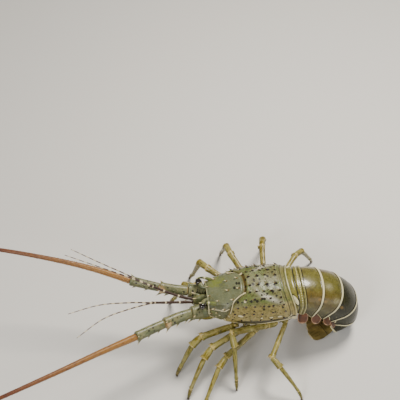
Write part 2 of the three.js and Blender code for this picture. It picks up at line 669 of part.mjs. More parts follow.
for (const [name, side] of Object.entries(sides)) {
  swimmeret.lengths.forEach((length, i) => {
    const k = i + 1;
    const frame = tailFrames[k](0.45);
    const y = side * swimmeret.out * rings[k].half;
    const place = ([share, back, out]) => inFrame(frame, back * length, y + side * out, -belly - 0.2 - share * length);
    const line = [[0, 0, 0], [0.25, 0.02, 0.4], [0.6, 0.1, 1], [0.85, 0.22, 1.3], [1, 0.32, 1.5]].map(place);
    const sizes = [0.42, 0.85, 1, 0.75, 0.3].map((share) => [swimmeret.thickness, share * swimmeret.halfWidth]);
    const leaf = tube(line, sizes, 8, { up: sideways, startWay: frame.back.clone().negate() });
    addNode(`swimmeret_${k + 1}_${name}`, fuse([leaf]), finishes.swimmeret);
  });
}

// Tail fan: the telson nearest the floor, with two uropods tucked over it on each side.
const fan = { bend: along([[0, 150], [2.8, 160], [5.6, 174], [8.4, 188], [11.2, 194]]), layer: 3.2, rootHeight: 9.2 };
const blades = [
  { name: "telson", layer: 0, out: 0, spread: 0, length: 35, half: 10.5, thickness: 1.2, side: 1 },
  { name: "uropod_inner", layer: 1, out: 7, spread: 13, length: 34, half: 8.2, thickness: 1 },
  { name: "uropod_outer", layer: 2, out: 10.5, spread: 27, length: 34, half: 8.6, thickness: 0.95 },
];
const bladeWidth = along([[0, 0.5], [0.15, 0.72], [0.6, 1], [0.85, 0.95], [0.95, 0.7], [1, 0.42]]);

// Every blade bends in the same upright plane, so the layers stay one over the other.
function blade({ layer, out, spread, length, half, thickness }, side) {
  const steps = 11;
  const spot = inFrame(tailFrames[5](1), seam / 2, side * out, fan.rootHeight - layer * fan.layer);
  return loft(
    Array.from({ length: steps + 1 }, (_, i) => {
      const k = i / steps;
      const turn = fan.bend(k * length) * degrees;
      const swing = spread * min((k * length) / 8, 1) * degrees;
      const way = new THREE.Vector3(cos(turn) * cos(swing), side * sin(swing), -sin(turn) * cos(swing));
      if (i > 0) spot.addScaledVector(way, length / steps);
      const thick = new THREE.Vector3(sin(turn), 0, cos(turn));
      const across = new THREE.Vector3().crossVectors(thick, i > 0 ? way : tailFrames[5](1).way);
      return Array.from({ length: 10 }, (__, j) => {
        const round = (2 * PI * (j + 0.5)) / 10;
        const point = spot.clone().addScaledVector(thick, thickness * between(1, 0.6, k) * sin(round));
        return point.addScaledVector(across, bladeWidth(k) * half * cos(round));
      });
    }),
  );
}

for (const shape of blades) {
  for (const [name, side] of Object.entries(shape.side ? { "": shape.side } : sides)) {
    const body = fuse([blade(shape, side)]).trimByPlane([0, 0, 1], 0);
    addNode(name ? `${shape.name}_${name}` : shape.name, body, finishes.fan);
  }
}

// The origin is on the floor, under the middle of the whole model.
const box = new THREE.Box3().setFromObject(lobster);
lobster.position.set(-(box.min.x + box.max.x) / 2, -(box.min.y + box.max.y) / 2, 0);

export default lobster;
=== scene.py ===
# A green spiny lobster at life size, standing on its legs with the banded tail bent under.
# Shapes are worked out in millimetres, head towards -X, left side towards -Y, floor at z = 0,
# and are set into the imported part's frame in metres when a mesh is made.

import math

import bpy
import numpy as np
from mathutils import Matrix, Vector


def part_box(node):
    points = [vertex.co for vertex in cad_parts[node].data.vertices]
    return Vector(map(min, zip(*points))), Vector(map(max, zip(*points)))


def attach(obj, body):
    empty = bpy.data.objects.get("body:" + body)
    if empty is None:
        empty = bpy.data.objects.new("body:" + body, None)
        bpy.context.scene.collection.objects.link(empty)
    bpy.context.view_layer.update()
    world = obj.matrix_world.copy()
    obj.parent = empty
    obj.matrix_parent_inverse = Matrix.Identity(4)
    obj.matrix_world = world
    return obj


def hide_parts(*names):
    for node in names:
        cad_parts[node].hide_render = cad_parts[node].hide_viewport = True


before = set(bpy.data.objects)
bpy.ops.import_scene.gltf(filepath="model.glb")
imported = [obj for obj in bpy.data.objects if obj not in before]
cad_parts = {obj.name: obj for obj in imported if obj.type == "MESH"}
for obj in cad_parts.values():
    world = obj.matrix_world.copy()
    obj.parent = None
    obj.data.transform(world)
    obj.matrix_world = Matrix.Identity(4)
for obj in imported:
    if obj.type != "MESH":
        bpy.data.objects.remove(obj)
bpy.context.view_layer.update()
degrees = math.pi / 180
sides = {"left": -1, "right": 1}
seam = 0.3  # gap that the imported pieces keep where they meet

# curves and small sums


def curve(stations):  # a smooth curve through [place, value] pairs
    places, values = np.array(stations, float).T
    slopes = np.empty_like(values)
    slopes[1:-1] = (values[2:] - values[:-2]) / (places[2:] - places[:-2])
    slopes[0] = (values[1] - values[0]) / (places[1] - places[0])
    slopes[-1] = (values[-1] - values[-2]) / (places[-1] - places[-2])

    def at(place):
        t = np.clip(place, places[0], places[-1])
        i = np.clip(np.searchsorted(places, t, side="right") - 1, 0, len(places) - 2)
        span = places[i + 1] - places[i]
        k = (t - places[i]) / span
        rest = 1 - k
        value = values[i] * (1 + 2 * k) * rest**2 + values[i + 1] * k**2 * (3 - 2 * k)
        return value + span * k * rest * (slopes[i] * rest - slopes[i + 1] * k)

    return at


def smooth(low, high, value):
    k = np.clip((np.asarray(value, float) - low) / (high - low), 0, 1)
    return k * k * (3 - 2 * k)


def bump(distance, width):
    return np.exp(-((distance / width) ** 2))


def unit(vectors):
    vectors = np.asarray(vectors, float)
    return vectors / np.maximum(np.linalg.norm(vectors, axis=-1, keepdims=True), 1e-9)


def mix(a, b, k):
    return a + (b - a) * k


def turnsOf(count):  # even turns round a circle
    return 2 * math.pi * np.arange(count) / count


def lengthAlong(line):  # how far along a line each of its points lies
    return np.concatenate([[0], np.cumsum(np.linalg.norm(np.diff(line, axis=0), axis=1))])


def drawFrom(seed):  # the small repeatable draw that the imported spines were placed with
    state = seed
    while True:
        state = (state * 48271) % 2147483647
        yield 2 * state / 2147483647 - 1


def smoothLine(points, steps):  # evenly stepped points on a soft line through a few
    points = np.array(points, float)
    ends = np.vstack([2 * points[0] - points[1], points, 2 * points[-1] - points[-2]])
    knots = np.concatenate([[0], np.cumsum(np.linalg.norm(np.diff(ends, axis=0), axis=1) ** 0.5)])
    line = []
    for t in np.linspace(knots[1], knots[-2], steps + 1):
        i = int(np.clip(np.searchsorted(knots, t, side="right") - 1, 1, len(points) - 1))
        k0, k1, k2, k3 = knots[i - 1 : i + 3]
        a1 = mix(ends[i - 1], ends[i], (t - k0) / (k1 - k0))
        a2 = mix(ends[i], ends[i + 1], (t - k1) / (k2 - k1))
        a3 = mix(ends[i + 1], ends[i + 2], (t - k2) / (k3 - k2))
        b1 = mix(a1, a2, (t - k0) / (k2 - k0))
        b2 = mix(a2, a3, (t - k1) / (k3 - k1))
        line.append(mix(b1, b2, (t - k1) / (k2 - k1)))
    return np.array(line)


# meshes

low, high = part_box("sternum")
originShift = np.array([low.x * 1000 + 37.72, (low.y + high.y) * 500, 0])


class Form:  # points, faces and named marks that grow into one mesh
    def __init__(self):
        self.points, self.faces, self.marks, self.count = [], [], [], 0

    def add(self, points, faces, **marks):
        points = np.asarray(points, float).reshape(-1, 3)
        self.points.append(points)
        self.faces += [(np.asarray(part) + self.count).tolist() for part in faces if len(part)]
        self.marks.append((len(points), marks))
        self.count += len(points)

    def grid(self, rings, **marks):
        rows, columns = rings.shape[:2]
        i, j = np.indices((rows - 1, columns)) * np.array([columns, 1])[:, None, None]
        k = (j + 1) % columns
        faces = [np.stack([i + j, i + k, i + columns + k, i + columns + j], -1).reshape(-1, 4)]
        points = rings.reshape(-1, 3)
        for name, value in marks.items():  # a row of values runs along the rings
            value = value[:, None] if np.ndim(value) == 1 else value
            marks[name] = np.broadcast_to(value, (rows, columns)).reshape(-1)
        ring = np.arange(columns)
        for start, turn in ((0, -1), ((rows - 1) * columns, 1)):  # each end closes on its middle
            middle = points[start : start + columns].mean(0)
            spokes = [start + ring, start + (ring + 1) % columns, np.full(columns, len(points))]
            faces.append(np.stack(spokes, -1)[:, ::turn])
            points = np.vstack([points, middle])
            marks = {name: np.append(value, value[start]) for name, value in marks.items()}
        corners = points[faces[0]] - points.mean(0)
        volume = (corners[:, 0] * np.cross(corners[:, 1], corners[:, 2])).sum()
        volume += (corners[:, 0] * np.cross(corners[:, 2], corners[:, 3])).sum()
        self.add(points, faces if volume > 0 else [part[:, ::-1] for part in faces], **marks)

    def build(self, name, node, slot):  # each slot has one finish
        points = np.vstack(self.points)
        mesh = bpy.data.meshes.new(name)
        faces = [face for part in self.faces for face in part]
        mesh.from_pydata(((points + originShift) / 1000).tolist(), [], faces)
        mesh.polygons.foreach_set("use_smooth", [True] * len(mesh.polygons))
        for mark in sorted({key for _, marks in self.marks for key in marks}):
            values = [np.broadcast_to(marks.get(mark, 0.0), count) for count, marks in self.marks]
            layer = mesh.attributes.new(mark, "FLOAT", "POINT")
            layer.data.foreach_set("value", np.concatenate(values).astype(np.float32))
        mesh.materials.append(finishes[slot])
        mesh.validate()
        piece = bpy.data.objects.new(name, mesh)
        bpy.context.collection.objects.link(piece)
        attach(piece, "root")
        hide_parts(node)


def framesAlong(line, up=(0, 0, 1)):  # a way, a wide and a tall direction at each point, without twist
    ways = unit(np.gradient(line, axis=0))
    wide = unit(np.cross(up, ways[0]))
    wides = []
    for way in ways:
        wide = unit(wide - way * wide.dot(way))
        wides.append(wide)
    wides = np.array(wides)
    return ways, wides, np.cross(ways, wides)


def outFrom(wides, talls, i, turn):  # ways out of a limb at the points i, turned round it
    return wides[i] * np.cos(turn)[:, None] + talls[i] * np.sin(turn)[:, None]


def tubeRings(line, wideSize, tallSize, sidesCount, up=(0, 0, 1), swell=1.0):
    _, wides, talls = framesAlong(line, up)
    turns = turnsOf(sidesCount)
    wideSize, tallSize = (np.broadcast_to(size, len(line))[:, None, None] for size in (wideSize, tallSize))
    circle = wides[:, None] * np.cos(turns)[:, None] * wideSize
    circle = circle + talls[:, None] * np.sin(turns)[:, None] * tallSize
    return line[:, None] + circle * swell, turns


def spikes(form, roots, ways, tall, radius, sidesCount=9, sunk=1.0, hook=(0, 0, 0), **marks):
    roots, ways = np.atleast_2d(roots).astype(float), unit(np.atleast_2d(ways))
    count = len(roots)
    tall, radius = (np.broadcast_to(size, count)[:, None] for size in (tall, radius))
    helper = np.where(np.abs(ways[:, 2:3]) < 0.9, [[0.0, 0.0, 1.0]], [[1.0, 0.0, 0.0]])
    wide = unit(np.cross(helper, ways))
    over = np.cross(ways, wide)
    shares = np.array([-0.02, 0.1, 0.3, 0.6, 0.85, 1.0])
    widths = np.array([1.5, 1.0, 0.74, 0.44, 0.2, 0.03])
    turns = turnsOf(sidesCount)
    reach = shares * tall - sunk * (shares < 0)
    centres = roots[:, None] + ways[:, None] * reach[..., None]
    bent = np.maximum(shares, 0)[:, None] ** 2
    centres = centres + np.asarray(hook, float) * bent * tall[..., None]
    around = wide[:, None] * np.cos(turns)[:, None] + over[:, None] * np.sin(turns)[:, None]
    rings = centres[:, :, None] + around[:, None] * (widths[None, :, None, None] * radius[:, None, None])
    rings[..., 2] = np.maximum(rings[..., 2], 0.05)
    i, k, j = np.indices((count, len(shares) - 1, sidesCount))
    block, n = len(shares) * sidesCount, (j + 1) % sidesCount
    start = i * block + k * sidesCount
    quads = np.stack([start + j, start + n, start + n + sidesCount, start + j + sidesCount], -1)
    tops = np.arange(count)[:, None] * block + block - sidesCount + np.arange(sidesCount)
    share = np.broadcast_to(np.maximum(shares, 0.001)[:, None], (count, len(shares), sidesCount))
    form.add(rings.reshape(-1, 3), [quads.reshape(-1, 4), tops], spike=share.reshape(-1), **marks)


# paint


class Wire:  # one socket of a material, so that sums on it can be written as Python
    def __init__(self, paint, socket):
        self.paint, self.socket = paint, socket

    def sum(self, operation, *values):
        return self.paint.node("ShaderNodeMath", {"operation": operation}, dict(enumerate(values)))

    def __add__(self, other):
        return self.sum("ADD", self, other)

    def __sub__(self, other):
        return self.sum("SUBTRACT", self, other)

    def __rsub__(self, other):
        return self.sum("SUBTRACT", other, self)

    def __mul__(self, other):
        return self.sum("MULTIPLY", self, other)

    __radd__, __rmul__ = __add__, __mul__

    def __gt__(self, other):
        return self.sum("GREATER_THAN", self, other)

    def atLeast(self, other):
        return self.sum("MAXIMUM", self, other)

    def ramp(self, start, end, low=0.0, high=1.0):  # a soft step between two values
        settings = {"interpolation_type": "SMOOTHSTEP"}
        return self.paint.node("ShaderNodeMapRange", settings, {0: self, 1: start, 2: end, 3: low, 4: high})


def tint(code):  # a web colour as the linear values that shaders use
    parts = [int(code[i : i + 2], 16) / 255 for i in (1, 3, 5)]
    return tuple(c / 12.92 if c <= 0.04045 else ((c + 0.055) / 1.055) ** 2.4 for c in parts) + (1.0,)


class Paint:  # one material, the nodes that make it and the colour laid so far
    def __init__(self, name, **shader):
        self.material = bpy.data.materials.new(name)
        self.material.use_nodes = True
        self.tree = self.material.node_tree
        self.tree.nodes.clear()
        self.shader = self.tree.nodes.new("ShaderNodeBsdfPrincipled")
        output = self.tree.nodes.new("ShaderNodeOutputMaterial")
        self.tree.links.new(self.shader.outputs[0], output.inputs[0])
        for socket, value in shader.items():
            self.shader.inputs[socket.replace("_", " ")].default_value = value
        self.place = self.node("ShaderNodeTexCoord", output="Object")

    def node(self, kind, settings=None, inputs=None, output=0):
        made = self.tree.nodes.new(kind)
        for name, value in (settings or {}).items():
            setattr(made, name, value)
        for key, value in (inputs or {}).items():
            if isinstance(value, Wire):
                self.tree.links.new(value.socket, made.inputs[key])
            else:
                made.inputs[key].default_value = value
        return Wire(self, made.outputs[output])

    def mark(self, name):  # a value that was written on the mesh
        return self.node("ShaderNodeAttribute", {"attribute_name": name}, output="Fac")

    def limbPlace(self, stretch=None):  # along and around a limb, in millimetres, shifted for each part
        marks = {0: self.mark("run"), 1: self.mark("turn"), 2: self.mark("part")}
        place = self.node("ShaderNodeCombineXYZ", None, marks)
        if stretch:
            place = self.node("ShaderNodeVectorMath", {"operation": "MULTIPLY"}, {0: place, 1: stretch})
        return place

    def noise(self, scale, detail=2.0, rough=0.5, place=None):
        inputs = {"Vector": place or self.place, "Scale": scale, "Detail": detail, "Roughness": rough}
        return self.node("ShaderNodeTexNoise", None, inputs)

    def cells(self, scale):
        return self.node("ShaderNodeTexVoronoi", None, {"Vector": self.place, "Scale": scale})

    def blend(self, factor, over, under):  # two colours, each a web colour or a wire
        over, under = (tint(colour) if isinstance(colour, str) else colour for colour in (over, under))
        return self.node("ShaderNodeMix", {"data_type": "RGBA"}, {0: factor, 6: under, 7: over}, output=2)

    def lay(self, factor, over, under=None):  # a colour over the one laid so far, or over a first one
        self.colour = self.blend(factor, over, under or self.colour)

    def laySpikes(self, root, tip, start=0.25, end=0.85, where=None):  # spines go from root to tip colour
        spike = self.mark("spike")
        self.lay(where or spike > 0.0005, self.blend(spike.ramp(start, end), tip, root))

    def feed(self, socket, wire):
        self.tree.links.new(wire.socket, self.shader.inputs[socket])

    def finish(self, roughness, *layers):  # each layer is a height, a strength and a depth in metres
        self.feed("Base Color", self.colour)
        self.feed("Roughness", roughness)
        normal = {}
        for height, strength, depth in layers:
            inputs = {"Height": height, "Strength": strength, "Distance": depth, **normal}
            normal = {"Normal": self.node("ShaderNodeBump", None, inputs)}
        self.feed("Normal", normal["Normal"])
        return self.material


# camera, light and floor

view = {
    "elevation": 50,
    "towardsHead": 7.5,
    "distance": 1100,
    "aim": (-48.6, 76.0, 144.4),
    "pixelsPerMm": 0.94,
    "frame": 400,
    "sensor": 36,
}
studio = {
    "world": ("#f2f1ec", 0.29),
    "aim": (10, 0, 60),
    "floor": 12,  # metres across
    "key": {"at": (330, 330, 940), "size": 340, "power": 12.5, "colour": "#fff8ec"},
    "front": {"at": (-520, -640, 700), "size": 360, "power": 4.5, "colour": "#fffdf8"},
    "fill": {"at": (560, -820, 330), "size": 700, "power": 1.6, "colour": "#f2f6ff"},
}


def setCamera():
    lift, swing = view["elevation"] * degrees, view["towardsHead"] * degrees
    back = Vector((-math.sin(swing) * math.cos(lift), -math.cos(swing) * math.cos(lift), math.sin(lift)))
    aim = (Vector(view["aim"]) + Vector(originShift)) / 1000
    data = bpy.data.cameras.new("camera")
    data.sensor_width = view["sensor"]
    data.lens = view["sensor"] * view["pixelsPerMm"] * view["distance"] / view["frame"]
    data.clip_start, data.clip_end = 0.05, 20
    camera = bpy.data.objects.new("camera", data)
    camera.location = aim + back * view["distance"] / 1000
    camera.rotation_euler = (-back).to_track_quat("-Z", "Y").to_euler()
    bpy.context.collection.objects.link(camera)
    bpy.context.scene.camera = camera


def setStudio():
    world = bpy.data.worlds.new("studio")
    world.use_nodes = True
    background = world.node_tree.nodes["Background"]
    colour, strength = studio["world"]
    background.inputs["Color"].default_value = tint(colour)
    background.inputs["Strength"].default_value = strength
    bpy.context.scene.world = world
    aim = (Vector(studio["aim"]) + Vector(originShift)) / 1000
    for name in ("key", "front", "fill"):
        lamp = studio[name]
        data = bpy.data.lights.new(name, "AREA")
        data.shape, data.size, data.energy = "DISK", lamp["size"] / 1000, lamp["power"]
        data.color = tint(lamp["colour"])[:3]
        light = bpy.data.objects.new(name, data)
        light.location = (Vector(lamp["at"]) + Vector(originShift)) / 1000
        light.rotation_euler = (aim - light.location).to_track_quat("-Z", "Y").to_euler()
        bpy.context.collection.objects.link(light)
    mesh = bpy.data.meshes.new("floor")
    reach = studio["floor"] / 2
    corners = [(-reach, -reach, 0), (reach, -reach, 0), (reach, reach, 0), (-reach, reach, 0)]
    mesh.from_pydata(corners, [], [(0, 1, 2, 3)])
    paint = Paint("paleFloor", Roughness=0.75, Base_Color=tint("#e6e4e0"))
    mesh.materials.append(paint.material)
    floor = bpy.data.objects.new("floor", mesh)
    bpy.context.collection.objects.link(floor)


setCamera()
setStudio()
print("camera and studio are set")

# finishes

shellColours = {
    "grey": "#6b6a3f",
    "green": "#5f6c32",
    "tan": "#9a894d",
    "sand": "#aa9a62",
    "olive": "#5f5c2e",
    "fore": "#6b7158",
    "foreDark": "#474a30",
    "yellow": "#76802c",
    "dust": "#a39c70",
    # pale colour of the painted highlights
    "sheen": "#cdc8b8",
    "speck": "#24220f",
    "pit": "#1f1d0e",
    "shade": "#1d1b08",
    "groove": "#5a4718",
    "rear": "#7f7841",
    "outline": "#2a2310",
    "dark": "#17140c",
    "cream": "#d6cca0",
    "skin": ("#6b5c30", "#a3935c"),
    "spine": ("#1c150c", "#8a6538"),
    "frontSpine": ("#6a5a2e", "#d9cb9c"),
}


def shellPaint():
    look = shellColours
    paint = Paint("carapaceShell", Coat_Weight=0.16, Coat_Roughness=0.18, Specular_IOR_Level=0.34)
    broad, mottle = paint.noise(60, 3, 0.6), paint.noise(260, 5, 0.65)
    fine, grain = paint.noise(900, 4, 0.7), paint.noise(1700, 3, 0.6)
    pits, specks = paint.cells(560), paint.cells(1050)
    fore, flank = paint.mark("fore"), paint.mark("flank") + broad * 0.5 - 0.25
    behind, edge = 1 - fore * 0.75, mottle * 0.6 - 0.3
    paint.lay(broad.ramp(0.42, 0.58), look["green"], look["grey"])
    paint.lay(flank.ramp(0.3, 0.6), look["tan"])
    paint.lay(mottle.ramp(0.48, 0.62) * 0.65, look["olive"])
    paint.lay(flank.ramp(0.3, 0.6) * mottle.ramp(0.5, 0.34) * 0.5, look["sand"])
    paint.lay(fore * 0.85, look["fore"])
    paint.lay(fore * (flank * 0.7 + broad * 0.8).ramp(0.34, 0.74) * 0.72, look["foreDark"])
    paint.lay(fore * mottle.ramp(0.48, 0.7) * 0.55, look["olive"])
    paint.lay((paint.mark("yellow") + mottle * 2.4 - 1.2).ramp(0.2, 1.0) * 0.75, look["yellow"])
    paint.lay(fine.ramp(0.52, 0.3) * 0.4, look["dust"])
    # painted highlights, laid as a pale colour over the shell
    paint.lay(paint.mark("sheen") * fine.ramp(0.25, 0.5) * 0.95, look["sheen"])
    paint.lay(specks.ramp(0.3, 0.18) * mottle.ramp(0.38, 0.55) * behind * 0.75, look["speck"])
    paint.lay(pits.ramp(0.24, 0.12) * behind * 0.7, look["pit"])
    paint.lay((paint.mark("shade") + edge * 1.3).ramp(0.2, 0.85) * 0.92, look["shade"])
    paint.lay((paint.mark("groove") + edge * 1.2).ramp(0.25, 0.8) * 0.9, look["groove"])
    paint.lay(paint.mark("skirt") * 0.65, look["rear"])
    paint.lay((paint.mark("line") + edge * 0.5).ramp(0.2, 0.8) * 0.85, look["outline"])
    paint.lay((paint.mark("halo") + edge * 0.5).ramp(0.4, 0.7) * 0.5, look["outline"])
    paint.lay((paint.mark("dark") + edge * 0.3).ramp(0.42, 0.58) * 0.92, look["dark"])
    paint.lay((paint.mark("pale") + edge * 0.6).ramp(0.3, 0.75), look["cream"])
    paint.lay((paint.mark("ink") + edge * 0.4).ramp(0.42, 0.58), look["cream"])
    paint.lay(paint.mark("inside"), paint.blend(mottle.ramp(0.4, 0.65), *look["skin"]))
    paint.laySpikes(*look["spine"])
    paint.laySpikes(*look["frontSpine"], 0.1, 0.5, paint.mark("frontal") > 0.5)
    roughness = (grain * 0.5 + mottle * 0.5).ramp(0.35, 0.65, 0.27, 0.45)
    grains, hollows = (grain, 0.4, 0.0002), (pits.ramp(0.0, 0.3), 0.6, 0.0002)
    return paint.finish(roughness, grains, hollows, (fine, 0.5, 0.00035), (mottle, 0.35, 0.0004))


tailColours = {
    "olive": "#6a6526",
    "ochre": "#6b5925",
    "side": "#37330a",
    "dusk": "#1a1c09",
    "first": "#847e34",
    "dark": "#3a3814",
    "light": "#8f8850",
    "fine": "#2b2a12",
    "grains": "#b5b277",
    "dots": "#a9a26f",
    "amber": "#94702c",
    "hem": "#2e2a12",
    "under": "#7a4f30",
    "line": "#14110a",
    "band": "#ddd5a8",
    # pale colour of the painted highlights
    "sheen": "#b9b394",
}


def tailPaint():
    look = tailColours
    paint = Paint("tailShell", Coat_Weight=0.5, Coat_Roughness=0.12, Specular_IOR_Level=0.38)
    broad, mottle = paint.noise(48, 3, 0.6), paint.noise(300, 5, 0.6)
    fine, grain = paint.noise(900, 4, 0.7), paint.noise(1700, 3)
    dots, granules = paint.cells(330), paint.cells(900)
    side, edge = paint.mark("side") + broad * 0.4 - 0.2, mottle * 0.4 - 0.2
    first, dusk = paint.mark("first"), paint.mark("dusk")
    paint.lay(side.ramp(0.1, 0.4) * broad.ramp(0.3, 0.55), look["ochre"], look["olive"])
    paint.lay(side.ramp(0.42, 0.75), look["side"])
    # darker towards the rear rings
    paint.lay((dusk + broad * 0.5 - 0.25).ramp(0.0, 1.0), look["dusk"])
    paint.lay(first * 0.8, look["first"])
    paint.lay(mottle.ramp(0.5, 0.66) * 0.55, look["dark"])
    paint.lay(mottle.ramp(0.47, 0.32) * (0.35 - dusk * 0.25), look["light"])
    paint.lay(fine.ramp(0.5, 0.68) * 0.3, look["fine"])
    paint.lay(granules.ramp(0.3, 0.15) * first * 0.35, look["grains"])
    paint.lay(dots.ramp(0.2, 0.12) * side.ramp(0.55, 0.75) * mottle.ramp(0.42, 0.55) * 0.6, look["dots"])
    paint.lay((paint.mark("amber") + fine * 2.6 - 1.3).ramp(0.25, 1.1) * 0.6, look["amber"])
    paint.lay(paint.mark("hem") * 0.7, look["hem"])
    paint.lay(paint.mark("under").ramp(0.3, 0.8), look["under"])
    # dark lines, partly painted shade at the front of each ring
    paint.lay((paint.mark("line") + edge * 0.5).ramp(0.25, 0.8) * 0.92, look["line"])
    paint.lay((paint.mark("pale") + edge * 0.5).ramp(0.35, 0.7), look["band"])
    # painted highlights on the rings
    paint.lay(paint.mark("sheen") * fine.ramp(0.3, 0.6) * 0.6, look["sheen"])
    paint.feed("Coat Weight", (0.5 - dusk * 0.42 - side.ramp(0.35, 0.8) * 0.3).atLeast(0.04))
    roughness = (grain * 0.5 + fine * 0.5).ramp(0.35, 0.65, 0.2, 0.36) + side.ramp(0.35, 0.6) * 0.14
    grains, beads = (grain, 0.25, 0.0002), (granules.ramp(0.0, 0.4) * first, 0.4, 0.0002)
    return paint.finish(roughness, grains, beads, (fine, 0.3, 0.0003), (mottle, 0.3, 0.0004))


legColours = {
    "base": "#74660c",
    "warm": "#5b6012",
    "under": "#86702e",
    "dark": "#38320f",
    "pale": "#bcac66",
    "joint": "#cfb86e",
    "tip": "#e0c890",
    "patch": "#cdbb74",
    "blotches": 0.85,
    "streaks": 0.55,
    "gloss": 0.32,
}
antennaColours = {
    "base": "#5c6240",
    "warm": "#656234",
    "under": "#7d734a",
    "dark": "#363d28",
    "pale": "#9c9a74",
    "joint": "#a38c5a",
    "tip": "#e6cf9f",
    "patch": "#b78c56",
    "blotches": 0.5,
    "streaks": 0.4,
    "gloss": 0.38,
}


def limbPaint(name, look):
    paint = Paint(name, Coat_Weight=0.18, Coat_Roughness=0.18, Specular_IOR_Level=0.4)
    broad = paint.noise(0.11, 2, 0.5, paint.limbPlace())
    blots = paint.noise(0.3, 4, 0.65, paint.limbPlace((0.7, 1.0, 1.0)))
    lines = paint.noise(0.6, 4, 0.7, paint.limbPlace((0.3, 1.0, 1.0)))
    mottle, grain, pits = paint.noise(420, 5, 0.65), paint.noise(1900, 3), paint.cells(700)
    top, patch = paint.mark("top") * 0.5 + 0.5, paint.mark("patch")
    streaks = lines * 0.55 + broad * 0.3 + top * 0.15 + mottle * 0.16 - 0.08
    joint = paint.mark("joint") + blots * 2.4 + mottle * 0.9 - 1.65
    paint.lay(broad.ramp(0.4, 0.6), look["warm"], look["base"])
    paint.lay(top.ramp(0.35, 0.0) * 0.6, look["under"])
    paint.lay((blots + mottle * 0.3 - 0.15).ramp(0.5, 0.66) * look["blotches"], look["dark"])
    paint.lay(mottle.ramp(0.52, 0.7) * 0.5, look["dark"])
    paint.lay(streaks.ramp(0.5, 0.58) * look["streaks"], look["pale"])
    paint.lay(pits.ramp(0.22, 0.12) * 0.5, look["dark"])
    paint.lay(joint.ramp(0.3, 0.9) * 0.9, look["joint"])
    paint.lay((paint.mark("dark") + mottle * 0.4 - 0.2).ramp(0.35, 0.7) * 0.9, "#1c160e")
    paint.lay((patch + mottle * 1.8 - 0.9).ramp(0.3, 0.9) * 0.8, look["patch"])
    paint.lay((patch + grain * 1.6 - 1.1).ramp(0.4, 0.9) * 0.8, "#d6c79c")
    paint.laySpikes(look["base"], look["tip"])
    paint.lay(paint.mark("hair") > 0.5, "#5a3c1c")
    roughness = (grain * 0.5 + mottle * 0.5).ramp(0.35, 0.65, look["gloss"] - 0.08, look["gloss"] + 0.12)
    hollows = pits.ramp(0.0, 0.3)
    return paint.finish(roughness, (grain, 0.4, 0.0002), (hollows, 0.4, 0.0002), (mottle, 0.45, 0.0004))


def whipPaint(name, root, tip, bands=None):
    paint = Paint(name, Coat_Weight=0.15, Coat_Roughness=0.25)
    mottle = paint.noise(300, 4, 0.6)
    paint.lay((paint.mark("share") + mottle * 0.3 - 0.15).ramp(0.05, 0.5), tip, root)
    paint.lay(mottle.ramp(0.5, 0.75) * 0.6, "#3a1c0e")
    paint.lay(paint.mark("ring").ramp(0.4, 0.9) * 0.6, "#2a140a")
    if bands:
        paint.lay(paint.mark("pale").ramp(0.35, 0.65), bands)
    paint.laySpikes("#7a4c22", "#c79a5a")
    return paint.finish(mottle.ramp(0.3, 0.7, 0.32, 0.5), (mottle, 0.4, 0.0003))


def eyePaint():
    paint = Paint("eyeDark", Coat_Weight=1.0, Coat_Roughness=0.03)
    facets = paint.cells(3600)
    paint.lay(paint.mark("joint"), "#4a3a20", "#120b07")
    paint.lay(facets.ramp(0.1, 0.6) * 0.4, "#2e1a0e")
    return paint.finish(facets.ramp(0.0, 0.6, 0.1, 0.2), (facets, 0.15, 0.00005))


def skinPaint(name, base, dark, pale, gloss):
    paint = Paint(name, Coat_Weight=0.15, Coat_Roughness=0.25)
    broad, mottle, grain = paint.noise(90, 3, 0.6), paint.noise(420, 5, 0.65), paint.noise(1800, 3)
    paint.lay(broad.ramp(0.35, 0.65), dark, base)
    paint.lay(mottle.ramp(0.5, 0.72) * 0.6, dark)
    paint.lay((paint.mark("line") + mottle * 0.3 - 0.15).ramp(0.3, 0.8) * 0.8, "#2a1c10")
    paint.lay((paint.mark("pale") + mottle * 0.4 - 0.2).ramp(0.35, 0.75), pale)
    paint.laySpikes(dark, pale)
    paint.lay(paint.mark("hair") > 0.5, "#7a4a26")
    roughness = grain.ramp(0.3, 0.7, gloss - 0.08, gloss + 0.1)
    return paint.finish(roughness, (grain, 0.4, 0.0002), (mottle, 0.5, 0.0004))


finishes = {
    "carapace_shell": shellPaint(),
    "tail_shell": tailPaint(),
    "leg_shell": limbPaint("legShell", legColours),
    "antenna_shell": limbPaint("antennaShell", antennaColours),
    "antenna_whip": whipPaint("antennaWhip", "#a0702e", "#6a3418"),
    "antennule": whipPaint("antennule", "#3a2418", "#4a2a1a", bands="#cfc09a"),
    "eye": eyePaint(),
    "thorax_underside": skinPaint("thoraxUnderside", "#94824c", "#5c5026", "#c9bb88", 0.42),
    "swimmeret": skinPaint("swimmeretLeaf", "#743f0f", "#452508", "#dbb18a", 0.45),
    "tail_fan": skinPaint("tailFan", "#a08c50", "#6c5e30", "#dccb98", 0.34),
}
print("finishes are mixed")

# carapace
# Places on the shell are (t, s): t runs from the front edge to the rear one, s from the crown (0)
# down to the lower edges (-1 on the left, 1 on the right).

